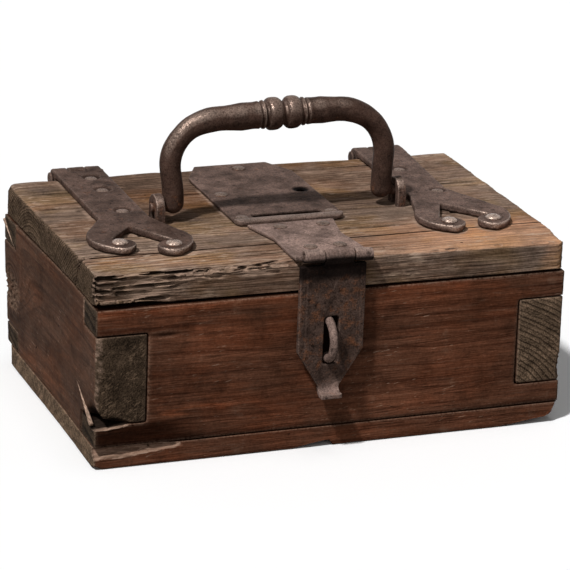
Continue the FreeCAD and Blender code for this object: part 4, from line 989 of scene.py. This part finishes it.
class OFFERINGBOX_OT_lid(bpy.types.Operator):
    """Three lid boards with raised grain, seams and a decayed front edge"""

    bl_idname = "offering_box.lid"
    bl_label = "Lid boards"

    # The back seam in the middle of the lid and its slant, and the leaning front seam above and below.
    SEAM, SKEW, LEAN_TOP, LEAN_LOW = -2.4, -0.0389, -52.0, -44.0
    # Left, front, right and back of the coin slot.
    SLOT = (-23.3, -14.1, 17.7, -7.5)
    # Start, end and line of each crack along a board.
    CRACKS = {"lid_back_board": ((-136.0, -70.0, 61.0), (-136.0, -96.0, 33.0), (62.0, 136.0, 28.0),
                                 (10.0, 118.0, 71.0)),
              "lid_middle_board": ((-136.0, -64.0, -22.0), (66.0, 136.0, -24.0), (-20.0, 60.0, -36.0)),
              "lid_front_strip": ((-60.0, 20.0, -66.0),)}
    CRACK_WIDTH, CRACK_DEPTH = 1.3, 1.6
    # Start, end, number and size of the chips along the upper front edge.
    CHIPS = ((-80.0, -42.0, 6, 3.0), (-52.0, -12.0, 6, 2.4), (30.0, 120.0, 4, 1.2))

    def execute(self, context):
        bm = cad_shape("coin_slot_plate", "hasp_strap", "left_strap_hinge", "right_strap_hinge")
        self.iron = BVHTree.FromBMesh(bm)
        bm.free()
        self.board("lid_back_board", (180, 116, 18), self.seam, lambda co: LID_BACK[1], (32.0, 66.0))
        self.board("lid_middle_board", (180, 66, 18), self.lean, self.seam, (-75.0, 50.0), [self.slot_gap()])
        self.board("lid_front_strip", (400, 54, 30), lambda co: LID_FRONT[1], self.lean, (-20.0, 20.0))
        return {"FINISHED"}

    def board(self, node, cells, near, far, pith, gaps=()):
        """A lid board between a near and a far line, with its wear."""
        bm = plank("XY", (-HALF, 0.0, LID_LOW), (HALF, 1.0, LID_HIGH), cells, gaps)
        for vert in bm.verts:
            start, end = near(vert.co), far(vert.co)
            vert.co.y = start + (end - start) * vert.co.y
        mark_ends(bm, 0, (-HALF, 0, 0), (HALF, 0, 0))
        soften(bm, boards().edge_rounds, self.open_edge)
        self.wear_edges(bm, node)
        if node == "lid_front_strip":
            self.decay(bm)
        if node != "lid_back_board":
            corner = (-HALF - 1.0, self.LEAN_TOP + 1.0, LID_HIGH + 1.0)
            scoop(bm, corner, (6.0, 3.6, 6.0), (0.5, 0.0, -1.0), 0.3, bare=0.6, soot=0.7)
        self.stretch(bm)
        paint_marks(bm, "bare", self.bruise)
        for start, end, line in self.CRACKS[node]:
            groove(bm, start, end, line, self.CRACK_WIDTH, self.CRACK_DEPTH, (0.0, 0.0, -1.0))
        wear_surface(bm, self.surface)
        tint(bm, self.tone)
        mark_wear(bm, WOOD_GAIN)
        finish_piece(bm, f"worn_{node}", "lid", weathered(pith), [node])

    def seam(self, co):
        """Where the back and middle boards meet."""
        return self.SEAM + self.SKEW * co.x

    def lean(self, co):
        """Where the middle board and the front strip meet."""
        return self.LEAN_LOW + (self.LEAN_TOP - self.LEAN_LOW) * (co.z - LID_LOW) / (LID_HIGH - LID_LOW)

    def open_edge(self, co):
        """Every edge but the tight front seam."""
        return abs(co.y - self.lean(co)) > 1.5 or co.x < -70.0

    def slot_gap(self):
        """The coin slot as shares of the middle board's width."""
        low_x, low_y, high_x, high_y = self.SLOT
        depth = self.SEAM - self.LEAN_TOP
        return low_x, (low_y - self.LEAN_TOP) / depth, high_x, (high_y - self.LEAN_TOP) / depth

    def wear_edges(self, bm, node):
        """Worn ends and back edge, and the rounded corners."""
        for end in (LEFT_END, RIGHT_END):
            round_edge(bm, end, LID_TOP, lambda co: 2.6 + 1.3 * wander(co.y, 0.07, end[2]))
        if node == "lid_back_board":
            round_edge(bm, LID_BACK, LID_TOP, lambda co: 1.4 + 1.0 * wander(co.x, 0.045, 2.0))
            round_edge(bm, LEFT_END, LID_BACK, lambda co: 5.0)
            round_edge(bm, RIGHT_END, LID_BACK, lambda co: 5.0)
            round_edge(bm, LEFT_END, LID_TOP, lambda co: 7.0 * ease(co.y, 55.0, 84.0))
        if node == "lid_front_strip":
            front = LID_FRONT[1]
            round_edge(bm, LID_FRONT, LID_TOP,
                       lambda co: 2.6 + 1.2 * wander(co.x, 0.06, 5.0) + 1.6 * ease(co.x, 50.0, 125.0))
            round_edge(bm, RIGHT_END, LID_FRONT, lambda co: 6.5)
            round_edge(bm, RIGHT_END, LID_TOP, lambda co: 6.0 * fall(co.y, front + 6.0, front + 34.0))
            round_edge(bm, LEFT_END, LID_FRONT, lambda co: 2.5)

    def decay(self, bm):
        """The front strip's rotten left end and its chipped upper edge."""
        bare, soot = mark(bm, "bare"), mark(bm, "soot")
        front, top = LID_FRONT[1], LID_HIGH

        def crumble(vert):
            co = vert.co
            face = fall(co.y, front + 1.5, front + 8.0)
            along = co.x + 8.0 * noise.noise(co * 0.09)
            high = ease(co.z + 2.5 * noise.noise(co * 0.2), 100.5, 104.0)
            rot = fall(along, -102.0, -86.0) * ease(co.z, 91.5, 94.5)
            rot = max(rot, fall(along, -74.0, -58.0) * high, fall(abs(co.x + 48.0), 8.0, 20.0) * high)
            layer = ripple(co, (0.045, 0.22, 0.64)) + 0.5 * ripple(co, (0.14, 0.5, 1.5))
            hole = ease(layer, -0.05, 0.42) * rot * face
            split = ease(layer, 0.36, 0.50) * rot * face
            recede = fall(co.x, -60.0, 60.0) * face * 1.4
            undercut = face * fall(co.z, 90.5, 94.0) * (0.7 + 1.8 * fall(co.x, -112.0, -92.0))
            lower = -1.3 * hole if co.z > top - 2.0 else 0.0
            vert[soot] = max(vert[soot], split * 0.85)
            vert[bare] = max(vert[bare], rot * face * (1.0 - split) * (0.62 + 0.38 * ease(-layer, -0.1, 0.3)))
            return Vector((0.0, 1.7 * hole + 2.2 * split + recede, undercut + lower))

        shift(bm, crumble)
        rng = random.Random(11)
        for start, end, count, size in self.CHIPS:
            for _ in range(count):
                x = rng.uniform(start, end)
                reach = size * rng.uniform(0.6, 1.2)
                radii = (reach * rng.uniform(2.2, 4.5), reach, reach * 0.9)
                scoop(bm, (x, front + 1.6, top - 0.2), radii, (0.0, 0.8, -1.0), 0.3, bare=0.9, soot=0.15)

    def stretch(self, bm):
        """The back edge waves, with a notch in it, and the left back corner stands out."""
        for vert in bm.verts:
            co = vert.co
            wave = 1.2 * wander(co.x, 0.03, 6.0) + 2.4 * ease(co.x, -14.0, -8.0) * fall(co.x, 30.0, 75.0)
            wave += 1.6 * ease(co.x, -84.0, -76.0) * fall(co.x, -50.0, -40.0)
            wave -= 1.6 * max(0.0, 1.0 - abs(co.x + 11.0) / 3.0)
            co.y += wave * ease(co.y, 68.0, 85.0)
            co.x -= 3.6 * ease(co.y, -60.0, 85.0) * ease(-co.x, 60.0, 130.0)

    def bruise(self, co, normal):
        """Pale rubbed wood along the edges of the iron, and a patch of it at the back."""
        if co.z < LID_HIGH - 1.5:
            return 0.0
        away = self.iron.find_nearest(Vector((co.x, co.y, LID_HIGH + 0.5)))[3]
        patch = 0.5 * ease(co.y, 52.0, 66.0) * fall(abs(co.x - 22.0), 14.0, 32.0)
        patch *= ease(ripple(co, (0.05, 0.1, 0.1)), -0.2, 0.3)
        return patch + 0.6 * fall(away, 0.7, 1.9) * ease(ripple(co, (0.06, 0.06, 0.06)), -0.15, 0.2)

    def surface(self, co, normal):
        """Broad wear and raised grain."""
        bent = Vector((co.x, co.y + 2.5 * ripple(co, (0.008, 0.04, 0.04)), co.z))
        grain = 1.3 * swell(bent, (0.006, 0.42, 0.42)) + 0.8 * swell(bent, (0.015, 0.95, 0.95))
        return 0.6 * swell(co, (0.012, 0.03, 0.03)) + boards().relief * grain

    def tone(self, co, normal):
        """Dirty front edge and ends, dark middle, pale rubbed top at the front right."""
        up, fore = ease(normal.z, 0.2, 0.7), ease(-normal.y, 0.3, 0.8)
        level = 0.25 * ripple(co, (0.016, 0.035, 0.035))
        level += 1.05 * ease(co.x, -20.0, 90.0) * fall(co.y, -58.0, -25.0) * up
        level += 0.12 * fall(co.x, -80.0, -20.0) * fall(co.y, -60.0, -40.0) * up
        level -= 0.10 * fall(co.x, -90.0, -40.0) * ease(co.y, -50.0, 10.0) * up
        level += 0.55 * ease(co.x, 114.0, 132.0) * fall(co.y, -75.0, -50.0)
        level -= 0.45 * ease(co.y, -30.0, 20.0) * fall(abs(co.x + 10.0), 60.0, 105.0)
        level += 0.38 * fore * (ripple(co, (0.03, 0.1, 0.22)) + 0.6 * ripple(co, (0.16, 0.3, 0.3)))
        return level - (0.38 - 0.20 * ease(co.x, 0.0, 60.0)) * fore - 0.20 * ease(abs(normal.x), 0.3, 0.8)


def islands(node):
    """Middle of each loose part of a CAD node, in millimetres."""
    bm = cad_shape(node)
    left = set(bm.verts)
    boxes = []
    while left:
        ring = [left.pop()]
        low, high = ring[0].co.copy(), ring[0].co.copy()
        while ring:
            vert = ring.pop()
            low = Vector(map(min, low, vert.co))
            high = Vector(map(max, high, vert.co))
            for edge in vert.link_edges:
                other = edge.other_vert(vert)
                if other in left:
                    left.remove(other)
                    ring.append(other)
        boxes.append((low, high))
    bm.free()
    return [(low + high) / 2 for low, high in sorted(boxes, key=lambda box: tuple(box[0]))]


def button(bm, spot, radius, rise, sink, bright, towards):
    """A hammered nail head: a low dome with a few flats, standing on its spot; its top is bright, partly
    rubbed and partly a painted highlight.
    """
    wear, rust = mark(bm, "wear"), mark(bm, "rust")
    made = bmesh.ops.create_uvsphere(bm, u_segments=28, v_segments=16, radius=1.0)["verts"]
    for vert in made:
        out = vert.co.copy()
        wobble = 1.0 + 0.09 * noise.noise(out * 1.3 + Vector(spot) * 0.37)
        flat = 1.0 - 0.16 * max(0.0, noise.noise(out * 2.1 + Vector(spot)))
        tall = rise if out.z > 0 else sink
        vert.co = Vector((out.x * radius * wobble, out.y * radius * wobble, out.z * tall * flat))
        # Painted highlight, with some rubbing, on the top of the dome.
        vert[wear] = bright * ease(out.z, 0.15, 0.5)
        vert[rust] = fall(out.z, 0.0, 0.35)
    if towards == "Y":
        bmesh.ops.rotate(bm, verts=made, matrix=Matrix.Rotation(-math.pi / 2, 3, "X"))
    bmesh.ops.translate(bm, verts=made, vec=spot)


class OFFERINGBOX_OT_nails(bpy.types.Operator):
    """Nail heads on the straps, the plate, the hasp and the leaves"""

    bl_idname = "offering_box.nails"
    bl_label = "Nails"

    # Height of each kind of head, or its place behind the box, and its radius, rise, sink and brightness;
    # the brightness is rubbing and a painted highlight on the top of the dome.
    SCROLL, SUNK = (111.7, 4.6, 2.4, 1.5, 1.0), (110.5, 3.7, 1.2, 1.5, 0.36)
    LOW, LEAF = (109.8, 4.0, 1.3, 1.0, 0.30), (BACK_HIGH.y + 3.2, 4.3, 2.2, 1.0, 0.30)

    def execute(self, context):
        for side in ("left", "right"):
            self.group(f"{side}_strap_nails", "lid", self.SUNK)
            self.group(f"{side}_leaf_nails", "box", self.LEAF, "Y")
        self.group("slot_plate_nails", "lid", self.LOW)
        self.group("hasp_strap_nails", "lid", self.LOW)
        return {"FINISHED"}

    def group(self, node, body, kind, towards="Z"):
        bm = bmesh.new()
        for x, y, z in islands(node):
            place, *sizes = self.SCROLL if kind is self.SUNK and y < SCROLL_LINE else kind
            spot = (x, place, z) if towards == "Y" else (x, y, place)
            button(bm, spot, *sizes, towards)
        finish_piece(bm, f"hammered_{node}", body, material("nail_iron", iron_finish), [node])


class OFFERINGBOX_OT_straps(bpy.types.Operator):
    """Strap hinges with their scrolls"""

    bl_idname = "offering_box.straps"
    bl_label = "Strap hinges"

    # Radius, lowest height and depth of the hollow round a sunk nail, and where the strap's top begins.
    DISH, DISH_LOW, DISH_DEPTH, TOP = 5.6, 110.6, 1.3, 110.2
    # How pale each strap is rubbed.
    PALE = {"left": 0.0, "right": 0.30}

    def execute(self, context):
        for side, pale in self.PALE.items():
            self.pale = pale
            self.sunk = [spot for spot in islands(f"{side}_strap_nails") if spot.y >= SCROLL_LINE]
            forge(f"{side}_strap_hinge", "lid", "scrolled_iron", ironwork().voxel, 4, 1.0,
                  gain=0.9, shape=self.dishes)
        return {"FINISHED"}

    def dishes(self, bm):
        """Darkened hollows round the sunk nails, and scrolls rubbed bright with a painted highlight on their
        front edges.
        """
        paint_marks(bm, "rub", lambda co, normal: self.pale)
        # Painted highlight, with some rubbing, on the scrolls' front edges.
        paint_marks(bm, "wear", self.bright)
        soot = mark(bm, "soot")
        for vert in bm.verts:
            co = vert.co
            if co.z < self.TOP:
                continue
            for spot in self.sunk:
                away = math.hypot(co.x - spot.x, co.y - spot.y)
                if away < self.DISH:
                    co.z = min(co.z, self.DISH_LOW + self.DISH_DEPTH * (away / self.DISH) ** 3)
                    vert[soot] = 0.5 * fall(away, 4.0, 5.4)

    def bright(self, co, normal):
        """The front edges of the scrolls, rubbed and with a painted highlight where they face up and forward.
        """
        edge = ease(0.96 - normal.z, 0.0, 0.2) * ease(normal.z - normal.y, 0.5, 1.1)
        return 0.95 * fall(co.y, -40.0, -26.0) * edge


class OFFERINGBOX_OT_handle(bpy.types.Operator):
    """Bail handle and the two staples that carry it"""

    bl_idname = "offering_box.handle"
    bl_label = "Handle"

    # Place along the grip from its middle, half width and depth of each turned groove, and the beads' place.
    GROOVES = ((0.0, 2.0, 1.5), (10.4, 1.3, 1.4), (13.2, 1.2, 0.9))
    BEAD = 5.6

    def execute(self, context):
        forge("bail_handle", "handle", "handled_iron", 0.55, 2, 1.0, shape=self.bend)
        for side in ("left", "right"):
            forge(f"{side}_handle_staple", "lid", "scrolled_iron", 0.45, 3, 0.6, 6.0,
                  shape=self.eye)
        return {"FINISHED"}

    def rust(self, bm):
        """Rust where the handle turns in its staples."""
        paint_marks(bm, "rust", lambda co, normal: 0.28 * fall(co.z, 115.0, 125.0))

    def polish_and_highlight(self, bm, share, start, end):
        """A painted highlight on the iron's upper left, where it faces halfway between the key light and the
        camera, from one height to another.
        """
        out = Vector((-0.44, -0.62, 0.65))
        paint_marks(bm, "wear",
                    lambda co, normal: share * ease(co.z, start, end) * ease(normal.dot(out), 0.74, 0.99))

    def eye(self, bm):
        """Staples: rusty at the foot, with a painted highlight on the upper left at the top."""
        self.rust(bm)
        self.polish_and_highlight(bm, 0.8, 110.0, 118.0)

    def bend(self, bm):
        """The legs bow outwards, the left side hangs lower and the bar thickens towards the beads."""
        low, high = corners("bail_handle")
        middle = (low.x + high.x) / 2

        def bow(vert):
            co = vert.co
            off = co.x - middle
            rise = ease(co.z, 117.0, 152.0)
            left, right = ease(-off, 8.0, 55.0) * rise, ease(off, 20.0, 55.0) * rise
            thick = 0.9 * ease(co.z, 140.0, 158.0) * ease(abs(off), 16.0, 24.0) * fall(abs(off), 38.0, 50.0)
            drop = (-0.9 - 1.6 * ease(-off, -12.0, 50.0)) * rise * (1.0 - 0.85 * ease(abs(off), 30.0, 54.0))
            if co.z > 150.0:
                thick += 0.5 * fall(abs(abs(off) - self.BEAD), 2.0, 4.2)
                for line, width, depth in self.GROOVES:
                    thick -= depth * fall(abs(abs(off) - line), 0.2, width)
            return vert.normal * thick + Vector((1.3 * right - 3.5 * left, 0.0, drop))

        # Painted sheen on the top of the bar, strongest on the beads, partly rubbing.
        def worn_and_sheen(co, normal):
            bead = fall(abs(abs(co.x - middle) - self.BEAD), 3.0, 5.5)
            top = ease(co.z, 135.0, 156.0) * ease(normal.z - 0.4 * normal.y, 0.2, 1.0)
            return top * (0.06 + 0.46 * bead)

        self.rust(bm)
        shift(bm, bow)
        # Painted sheen on the top and beads, then a painted highlight on the upper left.
        paint_marks(bm, "wear", worn_and_sheen)
        self.polish_and_highlight(bm, 0.72, 128.0, 150.0)


class OFFERINGBOX_OT_plate(bpy.types.Operator):
    """Coin slot plate"""

    bl_idname = "offering_box.plate"
    bl_label = "Coin slot plate"

    # Middle of the open nail hole and reach of its sunk hollow with painted shade, line and half width of the
    # bar, and where the top begins.
    HOLE, BURR, BAR, BAR_HALF, TOP = (20.3, 29.4), 6.0, -17.8, 4.4, 109.0

    def execute(self, context):
        forge("coin_slot_plate", "lid", "hammered_dark_iron", 0.6, 2, 0.7, 14.0, 1.0,
              self.shape)
        return {"FINISHED"}

    def shape(self, bm):
        """The raised bar in front of the slot, and a sunk hollow with painted shade round the open nail hole.
        """
        paint_marks(bm, "rub", lambda co, normal: 0.22)
        paint_marks(bm, "wear", lambda co, normal: 0.5 * ease(co.y, -22.0, -20.0) * fall(co.y, -16.5, -14.5))
        soot = mark(bm, "soot")
        for vert in bm.verts:
            co = vert.co
            if co.z > self.TOP:
                co.z += 0.9 * max(0.0, 1.0 - ((co.y - self.BAR) / self.BAR_HALF) ** 2)
            away = math.hypot(co.x - self.HOLE[0], co.y - self.HOLE[1])
            if away < self.BURR:
                # Painted shade round the open nail hole.
                vert[soot] = fall(away, 3.6, self.BURR)
                if co.z > self.TOP:
                    co.z -= fall(away, 1.5, self.BURR)


class OFFERINGBOX_OT_hasp(bpy.types.Operator):
    """Hasp: the strap on the lid, its pin and the swinging plate"""

    bl_idname = "offering_box.hasp"
    bl_label = "Hasp"

    # The plate's knuckle from left to right, and the drop of the strap's knuckles per millimetre past it.
    KNUCKLE, TILT = (-9.2, 7.6), 0.06

    def execute(self, context):
        forge("hasp_strap", "lid", "rubbed_iron", 0.5, 2, 0.7, 10.0, shape=self.trim)
        forge("hasp_pin", "lid", "hammered_rusty_iron", 0.35, 1, 0.0, shape=self.slim)
        forge("hasp_plate", "hasp", "hammered_rusty_iron", 0.5, 2, 0.7, 8.0, 1.2, self.tip)
        return {"FINISHED"}

    def shorten(self, bm):
        """The barrel's right end is worn short."""
        for vert in bm.verts:
            vert.co.x -= 0.3 * max(0.0, vert.co.x - 14.0)

    def slim(self, bm):
        """The pin is worn a little thinner than its bore."""
        self.shorten(bm)
        wear_surface(bm, lambda co, normal: 0.2)

    def trim(self, bm):
        """The strap's knuckles hang a little askew, with a painted highlight on top and painted shade
        underneath.
        """
        self.shorten(bm)
        for vert in bm.verts:
            past = vert.co.x - max(self.KNUCKLE[0], min(self.KNUCKLE[1], vert.co.x))
            vert.co.z -= self.TILT * past * fall(vert.co.y, -86.0, -78.0)
        low, high = corners("hasp_pin")
        under = (low.z + high.z) / 2 + 0.6
        # Painted highlight on the top of the barrel.
        paint_marks(bm, "wear", lambda co, normal: 0.5 * fall(co.y, -88.0, -84.0) * ease(normal.z, 0.3, 0.9))
        # Painted shade on the underside of the barrel.
        paint_marks(bm, "soot",
                    lambda co, normal: 0.92 * ease(under - co.z, 0.0, 2.4) * fall(co.y, -88.0, -84.0))

    def tip(self, bm):
        """Rubbed barrel and tip, a painted shadow under the barrel, a raised scalloped panel and a scribed
        border.
        """
        soot, rub, rust = mark(bm, "soot"), mark(bm, "rub"), mark(bm, "rust")
        low, high = corners("hasp_plate")
        middle, half = (low.x + high.x) / 2, (high.x - low.x) / 2
        for vert in bm.verts:
            co = vert.co
            below, above = high.z - co.z, co.z - low.z
            vert[rub] = max(fall(below, 7.2, 8.2), 0.9 * fall(above, 5.0, 12.0))
            # Painted shadow of the barrel on the plate below it.
            vert[soot] = 0.90 * fall(below, 14.0, 19.0) * ease(below, 2.4, 4.4)
            if vert.normal.y > -0.6 or below < 8.0 or above < 14.0:
                continue
            across = abs(co.x - middle)
            lobe = 22.0 - math.sqrt(max(0.0, 72.0 - (across - half * 0.46) ** 2))
            fade = ease(above, 14.0, 26.0)
            inside = ease(below, lobe - 0.4, lobe + 1.2) * fade
            vert[rust] = 0.12 * inside
            co.y -= 0.32 * inside
            co.y += 0.20 * fall(abs(half - across - 3.4), 0.3, 0.9) * fade


class OFFERINGBOX_OT_fittings(bpy.types.Operator):
    """Hinge leaves with their pins, the padlock staple and the nails under the box"""

    bl_idname = "offering_box.fittings"
    bl_label = "Small fittings"

    def execute(self, context):
        dark = "hammered_dark_iron"
        for side in ("left", "right"):
            forge(f"{side}_hinge_leaf", "box", dark, 0.55, 3, 0.8)
            forge(f"{side}_hinge_pin", "box", dark, 0.35, 2, 0.3, 5.0)
        forge("padlock_staple", "box", "rubbed_iron", 0.4, 2, 0.5, 5.0, 2.0, self.thicken)
        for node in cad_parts.values():
            if not node.hide_render:
                node.data.materials.clear()
                node.data.materials.append(material(dark, iron_finish))
        return {"FINISHED"}

    def thicken(self, bm):
        """The staple's wire: a little thicker before the board, bent to the left and with painted shade on
        its right side.
        """
        for vert in bm.verts:
            vert.co.x -= 1.1 * fall(vert.co.y, -89.0, -85.0)
        wear_surface(bm, lambda co, normal: -0.5 * fall(co.y, -90.0, -86.5))
        # Painted shade on the right side, away from the key light.
        paint_marks(bm, "soot", lambda co, normal: 0.6 * ease(normal.x, 0.1, 0.8))


class OFFERINGBOX_OT_stage(bpy.types.Operator):
    """Camera, floor and studio light"""

    bl_idname = "offering_box.stage"
    bl_label = "Stage"

    # Where each lamp shines from.
    LAMPS = {"key": (-0.55, -0.31, 1.0), "top": (0.06, 0.0, 1.0), "front": (-0.35, -1.0, 0.45)}

    def execute(self, context):
        stage = context.scene.offering_box_stage
        self.camera(context, stage)
        for name, towards in self.LAMPS.items():
            strength, angle = getattr(stage, name), getattr(stage, f"{name}_angle")
            self.lamp(context, f"{name}_light", strength, angle, towards)
        self.studio(context, stage)
        self.floor(context, stage)
        context.scene.view_settings.view_transform = "Standard"
        return {"FINISHED"}

    def camera(self, context, stage):
        data = bpy.data.cameras.new("photo_camera")
        data.sensor_width = SENSOR
        data.lens = stage.focal / PHOTO_SIDE * SENSOR
        yaw, pitch, roll = stage.yaw, stage.pitch, stage.roll
        back = Vector((math.sin(yaw) * math.cos(pitch), -math.cos(yaw) * math.cos(pitch), math.sin(pitch)))
        right = Vector((math.cos(yaw), math.sin(yaw), 0.0))
        up = back.cross(right)
        across = right * math.cos(roll) + up * math.sin(roll)
        upright = up * math.cos(roll) - right * math.sin(roll)
        turn = Matrix((across, upright, back)).transposed().to_4x4()
        camera = bpy.data.objects.new("photo_camera", data)
        camera.matrix_world = Matrix.Translation(stage.eye) @ turn
        context.scene.collection.objects.link(camera)
        context.scene.camera = camera

    def lamp(self, context, name, strength, angle, towards):
        """A far soft lamp that shines on the box from a direction."""
        towards = Vector(towards).normalized()
        data = bpy.data.lights.new(name, "SUN")
        data.energy = strength
        data.angle = angle
        lamp = bpy.data.objects.new(name, data)
        lamp.location = Vector((0.0, 0.0, 0.07)) + towards * 1.3
        lamp.rotation_mode = "QUATERNION"
        lamp.rotation_quaternion = towards.to_track_quat("Z", "Y")
        context.scene.collection.objects.link(lamp)

    def studio(self, context, stage):
        """A white room that is bright to look at and throws a weaker light on the box."""
        world = bpy.data.worlds.new("studio")
        context.scene.world = world
        world.use_nodes = True
        room = Nodes(world.node_tree)
        strength = room.span(room.in_sight(), 0.0, 1.0, stage.fill, 1.0)
        background = room.add("Background", {"Color": (1.0, 1.0, 1.0), "Strength": strength})
        room.add("OutputWorld", {"Surface": background.outputs[0]})

    def floor(self, context, stage):
        """A white floor that throws a greyer light back on the box."""
        bm = bmesh.new()
        bmesh.ops.create_grid(bm, x_segments=8, y_segments=8, size=3.0)
        mesh = bpy.data.meshes.new("floor")
        bm.to_mesh(mesh)
        bm.free()
        paint = Finish("floor")
        colour = paint.mix(paint.in_sight(), tuple(stage.bounce), tuple(stage.floor))
        mesh.materials.append(paint.coat(0.0, base_color=colour, roughness=0.9))
        floor = bpy.data.objects.new("floor", mesh)
        context.scene.collection.objects.link(floor)


class OFFERINGBOX_PT_panel(bpy.types.Panel):
    """Lists the pieces and their sizes and colours"""

    bl_idname = "OFFERINGBOX_PT_panel"
    bl_label = "Offering box"
    bl_space_type = "VIEW_3D"
    bl_region_type = "UI"
    bl_category = "Offering box"

    def draw(self, context):
        for operator in OPERATORS:
            self.layout.operator(operator.bl_idname)
        for group in (context.scene.offering_box_wood, context.scene.offering_box_iron,
                      context.scene.offering_box_stage):
            column = self.layout.column(align=True)
            for key in group.__annotations__:
                column.prop(group, key)


GROUPS = (OfferingBoxWood, OfferingBoxIron, OfferingBoxStage)
OPERATORS = (OFFERINGBOX_OT_walls, OFFERINGBOX_OT_bottom, OFFERINGBOX_OT_lid, OFFERINGBOX_OT_straps,
             OFFERINGBOX_OT_handle, OFFERINGBOX_OT_plate, OFFERINGBOX_OT_hasp, OFFERINGBOX_OT_nails,
             OFFERINGBOX_OT_fittings, OFFERINGBOX_OT_stage)
CLASSES = (*GROUPS, *OPERATORS, OFFERINGBOX_PT_panel)


def register():
    for item in CLASSES:
        bpy.utils.register_class(item)
    bpy.types.Scene.offering_box_wood = PointerProperty(type=OfferingBoxWood)
    bpy.types.Scene.offering_box_iron = PointerProperty(type=OfferingBoxIron)
    bpy.types.Scene.offering_box_stage = PointerProperty(type=OfferingBoxStage)


def unregister():
    del bpy.types.Scene.offering_box_stage
    del bpy.types.Scene.offering_box_iron
    del bpy.types.Scene.offering_box_wood
    for item in reversed(CLASSES):
        bpy.utils.unregister_class(item)


def main():
    register()
    bpy.ops.offering_box.walls()
    bpy.ops.offering_box.bottom()
    bpy.ops.offering_box.lid()
    bpy.ops.offering_box.straps()
    bpy.ops.offering_box.handle()
    bpy.ops.offering_box.plate()
    bpy.ops.offering_box.hasp()
    bpy.ops.offering_box.nails()
    bpy.ops.offering_box.fittings()
    bpy.ops.offering_box.stage()
    bpy.context.view_layer.update()


if __name__ == "__main__":
    main()
